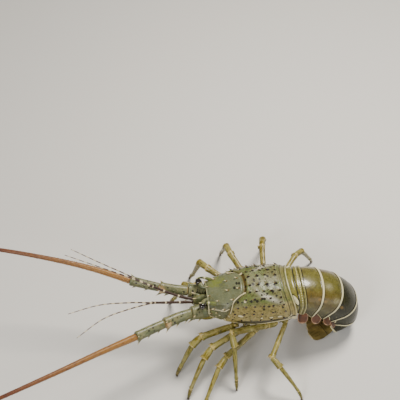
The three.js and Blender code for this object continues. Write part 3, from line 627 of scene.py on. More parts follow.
shell = {
    "length": 84,
    "girth": 62,  # from the crown to a lower edge
    "front": -52,
    "power": 2 / 2.2,
    "upperShare": 0.66,
    "rearBow": 6.5,
    "skirt": 3.2,  # how far the rear rim laps over the first tail ring
    "lip": 2.2,
    "groove": {"depth": 1.9, "width": 1.7, "bank": 0.3},
    "rearGrooves": [(4.0, 0.85, 1.5), (7.6, 0.35, 0.5), (9.8, 0.3, 0.45)],  # place, depth, width
    "rim": 0.35,
    "stations": 210,
    "across": 320,
    "mound": {"height": 0.35, "width": 1.7},
    "smallSpines": 260,
    "smallDots": 210,
}
halfWidth = curve([[0, 19], [0.1, 23.5], [0.25, 28], [0.45, 31.5], [0.65, 33], [0.85, 32.5], [1, 30]])
backHeight = curve([[0, 83], [0.1, 86], [0.25, 90], [0.45, 94], [0.65, 95], [0.85, 93.5], [1, 91]])
widestHeight = curve([[0, 69], [0.3, 68], [0.6, 67.5], [1, 67]])
edgeHalfWidth = curve([[0, 13], [0.12, 15], [0.36, 20.5], [0.55, 24.5], [0.8, 25.5], [1, 25]])
edgeHeight = curve([[0, 61], [0.12, 58], [0.36, 53], [0.55, 51.5], [1, 52]])
channelDepth = curve([[0, 0.6], [0.1, 0.8], [0.2, 5], [1, 5]])
grooveAt = curve([[0, 0.476], [0.15, 0.455], [0.26, 0.38], [0.37, 0.29], [0.52, 0.245], [0.66, 0.215],
                  [1, 0.12]])
spineRows = [  # s, first t, last t, how many, height
    (0.06, 0.55, 0.86, 4, 3.2),
    (0.16, 0.53, 0.88, 5, 3),
    (0.28, 0.47, 0.87, 5, 3),
    (0.4, 0.36, 0.88, 6, 2.8),
    (0.53, 0.32, 0.88, 6, 2.6),
    (0.66, 0.29, 0.86, 6, 2.4),
    (0.8, 0.33, 0.84, 5, 2.2),
    (0.08, 0.26, 0.39, 2, 3.2),
    (0.24, 0.13, 0.31, 2, 3.4),
    (0.42, 0.07, 0.19, 2, 3.2),
]
frontSpines = [(0.03, 0.11, 2.6), (0.025, 0.47, 3.4), (0.03, 0.6, 3.0), (0.035, 0.7, 2.2), (0.1, 0.53, 2.2)]
spineLean = {"out": 0.75, "ahead": 0.66, "spread": 0.006}
horn = {
    "height": 2.9,
    "thickness": 2.1,
    "at": (0.085, 0.3),
    "mound": 1.5,
    "route": [(7, -1, -3.4), (0, 0, 0.3), (-6, 0.7, 3.6), (-12, 0.8, 5.2), (-17, 0, 5)],
    "steps": 56,
}


def bowed(above, rise):
    return 1 - np.clip(above / rise, 0, 1) ** 2


def bowAt(t, z):
    return smooth(0.6, 1, t) * shell["rearBow"] * bowed(z - widestHeight(1), backHeight(1) - widestHeight(1))


def skirtAt(t):
    return shell["skirt"] * smooth(0.72, 1, t)


def fromRearAt(t):
    return (1 - t) * shell["length"] + shell["skirt"] - skirtAt(t)


def apart(t, s, at):  # millimetres over the shell
    return np.hypot((t - at[0]) * shell["length"], (s - at[1]) * shell["girth"])


def patch(t, s, at, long, wide):  # a soft patch, with its reach in millimetres
    return bump((t - at[0]) * shell["length"], long) * bump((s - at[1]) * shell["girth"], wide)


def plainShell(t, s):
    t, s = np.broadcast_arrays(np.asarray(t, float), np.asarray(s, float))
    reach, share = np.abs(s), shell["upperShare"]
    wide, level = halfWidth(t), widestHeight(t)
    upper = np.clip(reach / share, 0, 1) * math.pi / 2
    lower = np.clip((reach - share) / (1 - share), 0, 1) * math.pi / 2
    isUpper = reach < share
    y = np.where(isUpper, wide * np.sin(upper) ** shell["power"], mix(edgeHalfWidth(t), wide, np.cos(lower)))
    rise = (backHeight(t) - level) * np.maximum(np.cos(upper), 0) ** shell["power"]
    z = np.where(isUpper, level + rise, mix(level, edgeHeight(t), np.sin(lower)))
    x = shell["front"] + t * shell["length"] + bowAt(t, z) + skirtAt(t)
    return np.stack([x, np.sign(s) * y, z], -1)


def shellNormal(t, s, step=0.01):
    lengthwise = plainShell(np.minimum(t + step, 1), s) - plainShell(np.maximum(t - step, 0), s)
    crosswise = plainShell(t, np.minimum(s + step, 1)) - plainShell(t, np.maximum(s - step, -1))
    return unit(np.cross(lengthwise, crosswise))


def fromGrooveAt(t, s):
    return (t - grooveAt(np.abs(s))) * shell["length"]


def pressed(t, s):  # how deep the grooves lie below the plain outline
    groove = shell["groove"]
    fromGroove = fromGrooveAt(t, s)
    depth = groove["depth"] * bump(fromGroove, groove["width"])
    depth = depth - groove["bank"] * bump(np.abs(fromGroove) - 3.4, 1.6)
    for place, deep, wide in shell["rearGrooves"]:
        depth = depth + deep * bump(fromRearAt(t) - place, wide)
    lengthwise = smooth(0.5, 0.6, t) * smooth(0.9, 0.8, t)
    return depth + 0.4 * lengthwise * bump((np.abs(s) - 0.235) * 60, 1.5)


def shellSpines():
    draw, made = drawFrom(7), []
    for s, first, last, count, tall in spineRows:
        for side in sides.values():
            for i in range(count):
                spineT = mix(first, last, i / (count - 1)) + spineLean["spread"] * next(draw)
                spineS = side * (s + spineLean["spread"] * next(draw))
                made.append((spineT, spineS, tall * (1 + 0.12 * next(draw))))
    return np.array(made)


paleLines = [  # width, then the places it runs through
    (0.75, [(0.46, 0.16), (0.42, 0.185), (0.37, 0.225), (0.325, 0.27), (0.3, 0.33), (0.285, 0.41),
            (0.262, 0.52)]),
    (0.85, [(0.03, 0.45), (0.08, 0.446), (0.12, 0.45), (0.165, 0.468), (0.2, 0.464), (0.25, 0.42)]),
    (2.1, [(0, 0.77), (0.14, 0.78), (0.4, 0.8), (0.56, 0.812), (0.68, 0.8), (0.8, 0.775), (0.9, 0.765),
           (1, 0.74)]),
]
paleOvals = [  # place, size, slant
    ((0.39, 0.567), (2.7, 1.5), 0.5),
    ((0.455, 0.3), (1.35, 1.35), 0),
    ((0.462, 0.163), (1.6, 0.9), -0.4),
    ((0.526, 0.655), (0.8, 0.7), 0),
    ((0.652, 0.625), (1.15, 1.0), 0),
    ((0.75, 0.63), (1.5, 1.0), 0),
    ((0.829, 0.635), (1.8, 1.1), 0),
    ((0.917, 0.705), (1.3, 1.0), 0),
    ((0.936, 0.66), (1.0, 0.8), 0),
    ((0.24, 0.61), (1.2, 0.8), 0),
    ((0.13, 0.6), (1.0, 0.8), 0),
    ((0.09, 0.68), (1.3, 0.7), 0),
]
darkSpots = [  # place and radius, on both sides
    (0.612, 0.16, 0.9), (0.81, 0.175, 1.5), (0.84, 0.245, 1.0), (0.855, 0.36, 0.8), (0.867, 0.45, 1.0),
    (0.881, 0.525, 0.8), (0.79, 0.52, 0.9), (0.738, 0.41, 1.2), (0.679, 0.45, 1.2), (0.56, 0.475, 1.1),
    (0.467, 0.51, 0.9), (0.7, 0.28, 1.5), (0.533, 0.305, 1.5), (0.607, 0.31, 1.5), (0.417, 0.31, 1.0),
    (0.365, 0.3, 1.6), (0.85, 0.125, 0.8), (0.888, 0.16, 0.8), (0.843, 0.115, 1.1), (0.743, 0.205, 1.2),
    (0.674, 0.22, 1.1), (0.488, 0.12, 0.9), (0.24, 0.305, 1.0), (0.3, 0.47, 0.9), (0.2, 0.56, 0.8),
]
crownSpots = [  # on the crown, without a twin
    (0.605, 0.005, 1.3), (0.586, -0.05, 1.5), (0.679, 0.008, 1.2), (0.669, -0.042, 1.3), (0.783, 0.045, 1.3),
    (0.767, -0.08, 1.9), (0.838, -0.08, 1.2), (0.852, -0.035, 0.8), (0.862, 0.03, 0.8), (0.655, 0.08, 0.8),
    (0.412, -0.075, 1.1), (0.415, -0.008, 1.2), (0.385, 0.0, 1.3), (0.35, -0.058, 1.6), (0.502, 0.025, 1.1),
    (0.488, -0.065, 1.2), (0.536, 0.055, 1.1),
]
# Lines along the rear edge: millimetres before it, width, strength. The last of each is on the flanks alone.
paleRearLines = [(0.9, 0.55, 0.8), (10.2, 0.4, 0.55), (5.9, 0.35, 0.5), (3.2, 0.3, 0.5)]
darkRearLines = [(2.3, 0.35, 0.9), (6.7, 0.5, 1.0), (9.0, 0.3, 0.5), (4.6, 0.3, 0.7)]


def fromLine(t, s, line):  # millimetres to a drawn line
    scale, best = np.array([shell["length"], shell["girth"]]), 1e9
    place = np.stack(np.broadcast_arrays(t, s), -1) * scale
    for a, b in zip(np.array(line[:-1]) * scale, np.array(line[1:]) * scale):
        k = np.clip(((place - a) @ (b - a)) / (b - a).dot(b - a), 0, 1)
        best = np.minimum(best, np.linalg.norm(place - a - k[..., None] * (b - a), axis=-1))
    return best


def inked(inside):  # passes 0.5 on a mark's border, given how far inside it a point lies
    return np.clip(0.5 + inside / 1.4, 0, 1)


def ovals(t, s, grow=0.0):
    best = 0.0
    for (atT, atS), (wide, tall), slant in paleOvals:
        across = (np.abs(s) - atS) * shell["girth"]
        along = (t - atT) * shell["length"] - slant * across
        best = np.maximum(best, inked((1 - np.hypot(along / wide, across / tall)) * min(wide, tall) + grow))
    return best


def rearLines(lines, fromRear, flankSide):
    found = [bump(fromRear - gap, width) * strength for gap, width, strength in lines]
    return np.maximum.reduce(found[:-1] + [found[-1] * flankSide])


def spotMarks(t, s, points, spines, roots):  # dark spots and dots, and the rings round the spines
    dark, ink = np.zeros(t.shape), np.zeros(t.shape)
    for places, across in ((darkSpots, np.abs(s)), (crownSpots, s)):
        for *at, size in places:
            dark = np.maximum(dark, inked(0.95 * size - apart(t, across, at)))
    for (_, spineS, _), root in zip(spines, roots):
        near = np.linalg.norm(points - root, axis=-1)
        if abs(spineS) < 0.6:
            dark = np.maximum(dark, inked(1.05 - near))
        else:
            ink = np.maximum(ink, inked(0.8 - near))
    draw = drawFrom(31)
    for _ in range(shell["smallDots"]):
        dotT, dotS, size = 0.7 + 0.27 * next(draw), 0.6 * next(draw), 0.42 + 0.16 * next(draw)
        dark = np.maximum(dark, inked(0.85 * size - apart(t, s, (dotT, dotS))))
    return dark, ink


def shellMarks(t, s, points, spines, roots):
    reach = np.abs(s)
    fromFront, fromRear, fromGroove = t * shell["length"], fromRearAt(t), fromGrooveAt(t, s)
    dark, ink = spotMarks(t, s, points, spines, roots)
    ink, halo = np.maximum(ink, ovals(t, s)), ovals(t, s, 0.8)
    for width, line in paleLines:
        near = fromLine(t, reach, line)
        ink = np.maximum(ink, inked(0.7 * width - near))
        halo = np.maximum(halo, inked(1.7 * width - near) * (width < 1))
    flankSide = smooth(0.2, 0.45, reach)
    frontEdge = (0.45 + 0.4 * smooth(0.3, 0.45, reach)) * smooth(1.3, 0.7, fromFront)
    rearCorner = smooth(0.73, 0.77, reach) * smooth(6, 3, fromRear)
    pale = np.maximum.reduce([rearLines(paleRearLines, fromRear, flankSide), rearCorner,
                              0.75 * smooth(0.86, 0.9, reach), frontEdge])
    lines = np.maximum(0.6 * bump(fromFront - 2.3, 0.5), rearLines(darkRearLines, fromRear, flankSide))
    lines = lines * (1 - 0.85 * smooth(0.71, 0.75, reach) * smooth(7.5, 5.5, fromRear))
    middle = smooth(0.2, 0.13, reach)
    groove = bump(fromGroove - 1.0, 2.0) * middle + 0.5 * bump(fromGroove, 1.6) * (1 - middle)
    # A painted highlight that runs slanting back and down, and a fainter painted highlight on the crown.
    along, across = (t - 0.745) * shell["length"], (reach - 0.262) * shell["girth"]
    sheen = bump(along - across * 0.4, 7.5) * bump(across - along * 0.5, 2.9)
    sheen = sheen + 0.16 * patch(t, s, (0.65, 0.06), 8, 4.5)
    yellow = patch(t, s, (0.13, 0.16), 11, 9) + 0.5 * patch(t, reach, (0.08, 0.56), 8, 7)
    return {
        "ink": ink,
        "halo": halo,
        "flank": smooth(0.12, 0.7, reach),
        "fore": smooth(0.8, -1.5, fromGroove),
        "pale": pale,
        "dark": dark,
        "line": lines,
        "groove": np.clip(groove, 0, 1),
        "sheen": np.clip(sheen, 0, 1),
        "yellow": np.clip(yellow, 0, 1),
        "shade": smooth(0.665, 0.7, reach) * smooth(0.86, 0.8, reach) * smooth(0.26, 0.4, t),
        "skirt": smooth(6.6, 5.4, fromRear) * smooth(1.4, 2.4, fromRear) * smooth(0.45, 0.2, reach),
    }


def shellOuter(t, s, spines):
    reach, rims = np.abs(s), bump(t * shell["length"], 1.0) + bump(fromRearAt(t), 1.4)
    raised = shell["rim"] * (rims - 1) - pressed(t, s)
    for _, line in paleLines[:2]:
        raised = raised + 0.3 * smooth(1.5, 0.3, fromLine(t, reach, line))
    hornT, hornS = horn["at"]
    raised = raised + horn["mound"] * patch(t, reach, (hornT + 0.01, hornS), 8, 3.2)
    for spine in spines:
        raised = raised + shell["mound"]["height"] * bump(apart(t, s, spine), shell["mound"]["width"])
    return plainShell(t, s) + shellNormal(t, s) * raised[..., None]


def closeUnder(outer, marks, t):  # a lip, and a folded roof over the legs' sockets
    edge, inner = edgeHeight(t), edgeHalfWidth(t) - shell["lip"]
    roof, x = edge + channelDepth(t), shell["front"] + t * shell["length"]
    corners = [(inner, edge + 0.4), (inner - 0.3, roof), (inner * 0, roof)]
    corners += [(0.3 - inner, roof), (-inner, edge + 0.4)]
    under = np.stack([np.stack([x + bowAt(t, z), y, z], -1) for y, z in corners], 1)
    under[:, 1:4, 2] += 0.35 * np.sin(x * 1.3)[:, None] * (channelDepth(t) > 2)[:, None]
    marks["inside"] = np.zeros(outer.shape[:2])
    for name, value in marks.items():
        marks[name] = np.pad(value, ((0, 0), (0, len(corners))), constant_values=float(name == "inside"))
    return np.concatenate([outer, under], 1), marks


def closeEnds(rings, marks):  # each end has a rim and a face set back behind it
    outside = ("dark", "pale", "ink", "halo", "line", "fore", "groove", "shade")
    for end, step, height, order in ((0, 0.2, 70, -1), (-1, -1.0, 68, 1)):
        rim = rings[end]
        centre = np.array([rim[:, 0].mean(), 0, height])
        for shrink, back in ((0.99, -0.05), (0.975, 0.4), (0.965, 2.4), (0.955, 4.6), (0.6, 5), (0.25, 5)):
            ring = centre + (rim - centre) * [1, shrink, shrink] + [back * step, 0, 0]
            rings = np.concatenate([rings, ring[None]][::order])
            for name, value in marks.items():
                row = value[end][None] * (shrink > 0.98 or name not in outside)
                if name == "inside":
                    row = np.full_like(row, smooth(0.98, 0.965, shrink))
                marks[name] = np.concatenate([value, row][::order])
    return rings, marks


def addSpines(form, spines, roots, normals):
    t, s, tall = spines.T
    ahead = np.array([-1, 0, 0])
    isFore = np.repeat((t < grooveAt(np.abs(s))) * 1.0, 60)
    lean = normals * spineLean["out"] + ahead * spineLean["ahead"]
    spikes(form, roots, lean, tall, 0.29 * tall + 0.05, 10, hook=(-0.16, 0, 0.05), frontal=isFore)
    # Small ones scattered between the rows.
    draw, count = np.random.default_rng(11), shell["smallSpines"]
    smallT, smallS = draw.uniform(0.27, 0.88, count), draw.uniform(-0.62, 0.62, count)
    clear = apart(smallT[:, None], smallS[:, None], (t, s)).min(1) > 2.6
    clear &= smallT > grooveAt(np.abs(smallS)) + 0.05
    smallT, smallS = smallT[clear], smallS[clear]
    ways, small = shellNormal(smallT, smallS), draw.uniform(0.6, 1.3, clear.sum())
    smallRoots = plainShell(smallT, smallS) - ways * (pressed(smallT, smallS) + shell["rim"])[:, None]
    spikes(form, smallRoots, ways * 0.8 + ahead * 0.5, small, 0.3 * small + 0.12, 7, sunk=0.4)
    # Pale ones along the front margin.
    for frontT, frontS, long in frontSpines:
        for side in sides.values():
            root, way = plainShell(frontT, side * frontS), shellNormal(frontT, side * frontS)
            way, root = way * 0.35 + np.array([-1, 0, 0.1]), root - way * 0.3
            spikes(form, root, way, long, 0.3 * long, 12, frontal=1.0)


def addHorns(form):
    hornT, hornS = horn["at"]
    share = np.arange(horn["steps"] + 1) / horn["steps"]
    size = (1 - share) ** 0.8 * smooth(-0.02, 0.22, share)
    for side in sides.values():
        root = plainShell(hornT, side * hornS)
        line = smoothLine([root + [x, side * y, z] for x, y, z in horn["route"]], horn["steps"])
        rings, _ = tubeRings(line, 0.2 + horn["thickness"] * size, 0.2 + horn["height"] * size, 24)
        marks = {
            "pale": np.clip(0.85 * bump(share - 0.58, 0.045) + smooth(0.83, 0.92, share), 0, 1),
            "dark": 0.85 * bump(share - 0.71, 0.06) + 0.5 * bump(share - 0.48, 0.04),
            "yellow": 0.8 * smooth(0.1, 0.4, share),
        }
        form.grid(rings, flank=0.3, fore=1.0, **{name: value[:, None] for name, value in marks.items()})


def makeCarapace():
    spines = shellSpines()
    rootT, rootS, _ = spines.T
    normals = shellNormal(rootT, rootS)
    roots = plainShell(rootT, rootS) - normals * pressed(rootT, rootS)[:, None]
    t = np.concatenate([[0, 0.004, 0.009], np.linspace(0.015, 0.985, shell["stations"]), [0.992, 0.997, 1]])
    s = np.linspace(-1, 1, shell["across"] + 1)[None]
    outer = shellOuter(t[:, None], s, spines)
    marks = shellMarks(*np.broadcast_arrays(t[:, None], s), outer, spines, roots)
    rings, marks = closeEnds(*closeUnder(outer, marks, t))
    form = Form()
    form.grid(rings, **marks)
    addSpines(form, spines, roots, normals)
    addHorns(form)
    form.build("carapaceShell", "carapace", "carapace_shell")


makeCarapace()
print("carapace is made")

# tail rings

ringKeys = ("length", "turn", "half", "rise", "pleuron", "lead", "bow")
rings = [dict(zip(ringKeys, row)) for row in (  # "lead" and "bow" move the rear edge back, in mm
    (12, 6, 27, 20, 13, 4, 2.5),
    (20.5, 20, 26.7, 20, 17.5, 2.5, -1),
    (21.5, 37, 26, 20, 17.5, 1.3, -1.8),
    (20.5, 60, 25, 20, 16, 2.2, -4),
    (18, 100, 23, 19, 13.5, 0, 0),
    (17, 150, 20, 14, 9, 0, 0),
)]
tail = {
    "start": (32.15, 70.6),
    "front": {"half": 28.5, "rise": 20.2, "lead": 0, "bow": 6.5},
    "step": 1.3,
    "belly": 8,
    "overlap": 1.5,
    "tipIn": 0.06,  # how far the side tips lean in, as a share of the half width
    "skin": 1.7,
    "stations": 74,
}
pleuronTooth = curve([[0, 0.05], [0.45, 0.5], [0.9, 1], [1, 0.9]])
amberSmudges = {1: (0.85, 0.41), 2: (0.2, 0.43), 3: (0.27, 0.46)}  # (share, side) on each ring
ringDarkening = [(0, 0), (0, 0.05), (0.05, 0.35), (0.85, 1), (1, 1), (0.95, 0.95)]  # front and rear of each ring
paintedHighlightSpots = {2: [(0.32, 0.14, 0.07), (0.78, 0.38, 0.05)]}  # (share, side, width) of each painted highlight on a ring


def bendOf(k):
    return (rings[k]["turn"] - (rings[k - 1]["turn"] if k else 0)) * degrees


def tailFrames():
    made, (x, z), turn = [], tail["start"], 0.0
    for ring in rings:
        bend = ring["turn"] * degrees - turn
        radius = ring["length"] / bend

        def frameAt(u, x=x, z=z, turn=turn, bend=bend, radius=radius):
            angle = turn + bend * np.asarray(u, float)
            across, down, zero = np.sin(angle), np.cos(angle), 0 * angle
            ahead, above = x + radius * (across - math.sin(turn)), z + radius * (down - math.cos(turn))
            ways = ((ahead, zero, above), (down, zero, -across), (across, zero, down))
            return [np.stack(way, -1) for way in ways]

        made.append(frameAt)
        at, _, _ = frameAt(1.0)
        x, z, turn = at[0], at[2], turn + bend
    return made


frames = tailFrames()


def inFrame(frameAt, u, x, y, h):
    at, way, back = frameAt(u)
    x, y, h = (np.asarray(value, float)[..., None] for value in (x, y, h))
    return at + way * x + np.array([0.0, 1.0, 0.0]) * y + back * h


def rounded(outline, times):  # cuts the corners of an open outline, its ends kept
    for _ in range(times):
        a, b = outline[:-1], outline[1:]
        inner = np.stack([0.75 * a + 0.25 * b, 0.25 * a + 0.75 * b], 1)
        outline = np.concatenate([outline[:1], inner.reshape(-1, 2), outline[-1:]])
    return outline


def ringOutline(half, rise, pleuron):
    arc, power = np.linspace(-math.pi / 2, math.pi / 2, 121), shell["power"]
    width = half * np.sign(arc) * np.abs(np.sin(arc)) ** power
    top = np.stack([width, rise * np.maximum(np.cos(arc), 0) ** power], -1)
    tipIn, belly = tail["tipIn"] * half, tail["belly"]
    side = [[half, 0], [half - 0.03 * half, -0.45 * pleuron], [half - tipIn, -pleuron]]
    side += [[half - tipIn - tail["skin"], -pleuron + 0.4], [half - 0.26 * half, -belly], [0, -belly + 1.5]]
    right = rounded(np.array(side), 3)[1:]
    return np.concatenate([top, right, right[-2::-1] * [-1, 1]])


def ringShape(k, u):  # points, how far each lies from the ring's edges, and what faces down
    ring, lap, belly = rings[k], tail["overlap"], tail["belly"] + 1
    before, rows = rings[k - 1] if k else {**ring, **tail["front"]}, []
    for share in u:
        inside, step = min(share, 1.0), tail["step"] * max(1 - share, 0) ** 1.5
        half, rise, lead, bow = (mix(before[key], ring[key], inside) for key in tail["front"])
        half, pleuron = half - step, belly + (ring["pleuron"] - tail["belly"] - 1) * pleuronTooth(inside)
        y, h = ringOutline(half, rise - step, pleuron).T
        forward = bow * bowed(h, rise) + lead + (seam / 2 if share == 0 else 0)
        arc = ring["length"] + np.maximum(h, -4) * bendOf(k)
        rows.append([
            inFrame(frames[k], np.full(len(y), share), forward, y, h),
            share * arc,
            (1 - share) * arc + lap,
            np.clip(np.arctan2(np.abs(y), h + 4) / 2.3, 0, 1.2),
            np.where(np.abs(y) > 0.7 * half, h + pleuron, 9.0),
            (np.abs(y) < half - tail["tipIn"] * half - 1) & (h < 0),
        ])
    return [np.array(values, float) for values in zip(*rows)]


def makeRing(k):
    length, lap, isFirst = rings[k]["length"], tail["overlap"], k == 0
    last = [0.985, 1.0, 1 + 0.6 * lap / length, 1 + lap / length]
    u = np.concatenate([[0.0, 0.004], np.linspace(0.01, 0.97, tail["stations"]), last])
    points, ahead, behind, side, edge, under = ringShape(k, u)
    outward = unit(np.cross(np.gradient(points, axis=0), np.gradient(points, axis=1)))
    outward[0], outward[-1] = outward[1], outward[-2]
    outward = outward * np.sign(((points - points.mean(1, keepdims=True)) * outward).sum())
    # A lip at the rear, a soft dip before it, and a shallow step where the ring ahead laps over.
    lift = 0.3 * smooth(4.2, 2.4, behind) - 0.3 * bump(behind - 3.6, 0.7) + 0.25 * smooth(0, 5, ahead) - 0.55
    lowSide = 0.6 * smooth(0.5, 0.9, side)
    band = smooth(0.0, 0.3, behind) * smooth(2.5 - lowSide, 2.1 - lowSide, behind)
    # A dark line before each band, and a dark strip at the front of each ring that is partly painted shade
    # under the lap of the ring ahead and partly dark edging.
    line = 0.8 * bump(behind - 2.9, 0.45) + smooth(4.2, 2.6, ahead) * (not isFirst)
    if isFirst:  # two grooves, a row of beads between them and an oval mark on each side
        lift = lift - 0.8 * bump(behind - 7.6, 1.0) - 0.4 * bump(behind - 2.7, 0.7)
        lift = lift + 0.25 * bump(behind - 10.2, 1.5)
        beads = 0.7 + 0.3 * np.sin(side * 150)
        band = 0.7 * bump(behind - 0.8, 0.6) + 0.85 * beads * bump(behind - 4.3, 0.55)
        line = 0.7 * bump(behind - 2.4, 0.7) + 0.45 * bump(behind - 5.6, 0.5) + 0.95 * bump(behind - 7.6, 0.8)
        oval = np.hypot((behind - 11.0 + 20 * (side - 0.415)) / 2.2, (side - 0.415) / 0.085)
        band = np.maximum(band, smooth(1.1, 0.9, oval))
        line = np.maximum(line, 0.7 * smooth(1.7, 1.2, oval) * (oval > 1.05))
    points = points + outward * (lift * smooth(1.0, 0.9, side) * (1 - under))[..., None]
    points[..., 2] = np.maximum(points[..., 2], 0.0)
    rim = smooth(1.5, 0.9, edge) * (1 - under) * (behind > lap - 0.2)
    amber, sheen = np.zeros(side.shape), np.zeros(side.shape)
    if k in amberSmudges:
        share, atSide = amberSmudges[k]
        amber = smooth(1.3, 0.2, np.hypot((u[:, None] - share) * length / 3.4, (side - atSide) / 0.04))
    # Painted highlights on the ring's left side.
    for share, atSide, wide in paintedHighlightSpots.get(k, []):
        spot = bump((u[:, None] - share) * length, 4) * bump(side - atSide, wide)
        sheen = np.maximum(sheen, spot * (points[..., 1] < 0))
    if k == 3:  # a faint slanting crease
        line = np.maximum(line, 0.5 * bump(ahead - 8 - 14 * side, 0.35) * smooth(0.4, 0.2, side))
    form = Form()
    marks = {"side": side, "under": under, "amber": amber, "sheen": sheen, "first": float(isFirst)}
    marks["pale"], marks["line"] = np.maximum(band * (1 - under), rim), np.clip(line, 0, 1) * (1 - under)
    marks["dusk"], marks["hem"] = mix(*ringDarkening[k], np.minimum(u, 1)), smooth(3.2, 1.5, edge) * (1 - under)
    form.grid(points, **marks)
    form.build(f"tailRing{k + 1}", f"abdomen_{k + 1}", "tail_shell")


for k in range(len(rings)):
    makeRing(k)
print("tail rings are made")

# tail fan

fan = {"layer": 3.2, "rootHeight": 9.2, "steps": 60, "bladeSides": 48, "ribs": 34, "fringe": 0.55}
fanBend = curve([[0, 150], [2.8, 160], [5.6, 174], [8.4, 188], [11.2, 194]])
bladeWidth = curve([[0, 0.5], [0.15, 0.72], [0.6, 1], [0.82, 0.97], [0.93, 0.78], [0.98, 0.52], [1, 0.3]])
blades = [
    {"name": "telson", "layer": 0, "out": 0, "spread": 0, "length": 35, "half": 10.5, "thick": 1.2},
    {"name": "uropod_inner", "layer": 1, "out": 7, "spread": 13, "length": 34, "half": 8.2, "thick": 1.0},
    {"name": "uropod_outer", "layer": 2, "out": 10.5, "spread": 27, "length": 34, "half": 8.6, "thick": 0.95},
]


def makeBlade(shape, side, nodeName):
    length, steps, turns = shape["length"], fan["steps"], turnsOf(fan["bladeSides"])
    height = fan["rootHeight"] - shape["layer"] * fan["layer"]
    spot = inFrame(frames[5], 1.0, seam / 2, side * shape["out"], height)
    wide, points, shares = np.cos(turns), [], np.arange(steps + 1) / steps
    flat, ribs = np.sign(np.sin(turns)) * np.abs(np.sin(turns)) ** 0.7, 0.5 + 0.5 * np.cos(wide * fan["ribs"])
    for i, k in enumerate(shares):
        turn = float(fanBend(k * length)) * degrees
        swing = shape["spread"] * min(k * length / 8, 1) * degrees
        out, level = side * math.sin(swing), math.cos(swing)
        way = np.array([math.cos(turn) * level, out, -math.sin(turn) * level])
        if i:
            spot = spot + way * length / steps
        thick = np.array([math.sin(turn), 0, math.cos(turn)])
        over = np.cross(thick, way if i else frames[5](1.0)[1])
        height = shape["thick"] * mix(1, 0.55, k) * flat * (1 - 0.16 * smooth(0.35, 0.5, k) * ribs)
        width = float(bladeWidth(k)) * shape["half"]
        points.append(spot + thick * height[:, None] + over * (width * wide)[:, None])
    points = np.array(points)
    points[..., 2] = np.maximum(points[..., 2], 0.02)
    ridges = bump((shares - 0.4) * length, 0.7)[:, None] + 0.6 * smooth(0.35, 0.6, shares)[:, None] * ribs
    pale = np.clip(0.5 * bump((shares - 0.46) * length, 0.5) + smooth(0.95, 0.99, shares), 0, 1)
    form = Form()
    form.grid(points, pale=pale, line=ridges)
    # A fringe of fine hairs along the free edge.
    middles, edges, ways = points.mean(1), [], []
    for i in range(int(fan["fringe"] * steps), steps):
        for j in (0, fan["bladeSides"] // 2):
            edges.append(points[i, j])
            ways.append(points[i, j] - middles[i] + 0.8 * (middles[-1] - middles[i]))
    for out in np.linspace(-0.95, 0.95, 12):
        edges.append(middles[-1] + over * out * width)
        ways.append(unit(middles[-1] - middles[-4]) + over * out * 0.7)
    spikes(form, edges, ways, 1.2 + 0.4 * np.sin(np.arange(len(edges)) * 2.3), 0.1, 3, sunk=0.3, hair=1.0)
    form.build("fan" + nodeName.title().replace("_", ""), nodeName, "tail_fan")


for shape in blades:
    if shape["name"] == "telson":
        makeBlade(shape, 1, "telson")
        continue
    for name, side in sides.items():
        makeBlade(shape, side, f"{shape['name']}_{name}")

swimmeret = {
    "lengths": [15, 14, 11, 8],
    "halfWidth": 5.2,
    "thickness": 0.6,
    # Places on the way down: how far down, back and out, as shares.
    "route": [(-0.1, 0, 0), (0.25, 0.3, 0.03), (0.5, 0.7, 0.25), (0.8, 0.92, 0.72), (1, 1, 1)],
    "leaves": [
        {"out": 0.8, "splay": 7.5, "reach": 1.0, "size": 1.1, "sweep": 0.05, "up": (1, 0, 0)},
        {"out": 0.45, "splay": 0.5, "reach": 0.85, "size": 0.9, "sweep": 0.25, "up": (0, 1, 0)},
    ],
}
leafWidth = curve([[0, 0.3], [0.2, 0.7], [0.55, 1], [0.78, 0.93], [0.9, 0.72], [0.97, 0.42], [1, 0.15]])


def makeSwimmeret(k, name, side):
    length, form, share = swimmeret["lengths"][k - 1], Form(), np.arange(37) / 36
    for leaf in swimmeret["leaves"]:
        y, sweep, reach = side * leaf["out"] * rings[k]["half"], leaf["sweep"], leaf["reach"]
        line = smoothLine([inFrame(frames[k], 0.45, back * sweep * length, y + side * leaf["splay"] * spread,
                                   -tail["belly"] - 0.2 - down * reach * length)
                           for down, back, spread in swimmeret["route"]], 36)
        width = leafWidth(share) * swimmeret["halfWidth"] * leaf["size"]
        skin, turns = tubeRings(line, swimmeret["thickness"] * mix(1.2, 0.5, share), width, 40, leaf["up"])
        across, down = np.sin(turns)[None], share[:, None]
        veins = 0.5 + 0.5 * np.cos(across * 22 + 5 * down)
        form.grid(skin, pale=np.clip(smooth(0.86, 0.94, np.abs(across)) + smooth(0.9, 0.97, down), 0, 1),
                  line=0.55 * veins * smooth(0.2, 0.5, down))
        for edge in (10, 30):
            roots = skin[9:, edge]
            ways = roots - line[9:] + 0.5 * unit(line[-1] - line[0]) * width[9:, None]
            spikes(form, roots, ways, 1.5, 0.11, 3, sunk=0.3, hair=1.0)
        tips = skin[-2, ::4]
        spikes(form, tips, tips - line[-9], 1.3, 0.1, 3, sunk=0.3, hair=1.0)
    form.build(f"swimmeret{k + 1}{name.title()}", f"swimmeret_{k + 1}_{name}", "swimmeret")


for name, side in sides.items():
    for k in (1, 2, 3, 4):
        makeSwimmeret(k, name, side)
print("tail fan and swimmerets are made")

# underside of the thorax

sternum = {
    "front": 0.17,
    "rear": 0.985,
    "bottom": 45,
    "sideInset": 9.5,
    "steps": 110,
    "hips": np.array([-21, -9.5, 3, 16, 26.5]),
}


def sternumTop(t):
    return edgeHeight(t) + channelDepth(t) - seam


def sternumTopHalf(t):
    return edgeHalfWidth(t) - shell["lip"] - seam


def sternumBottomHalf(t):
    return edgeHalfWidth(t) - sternum["sideInset"]


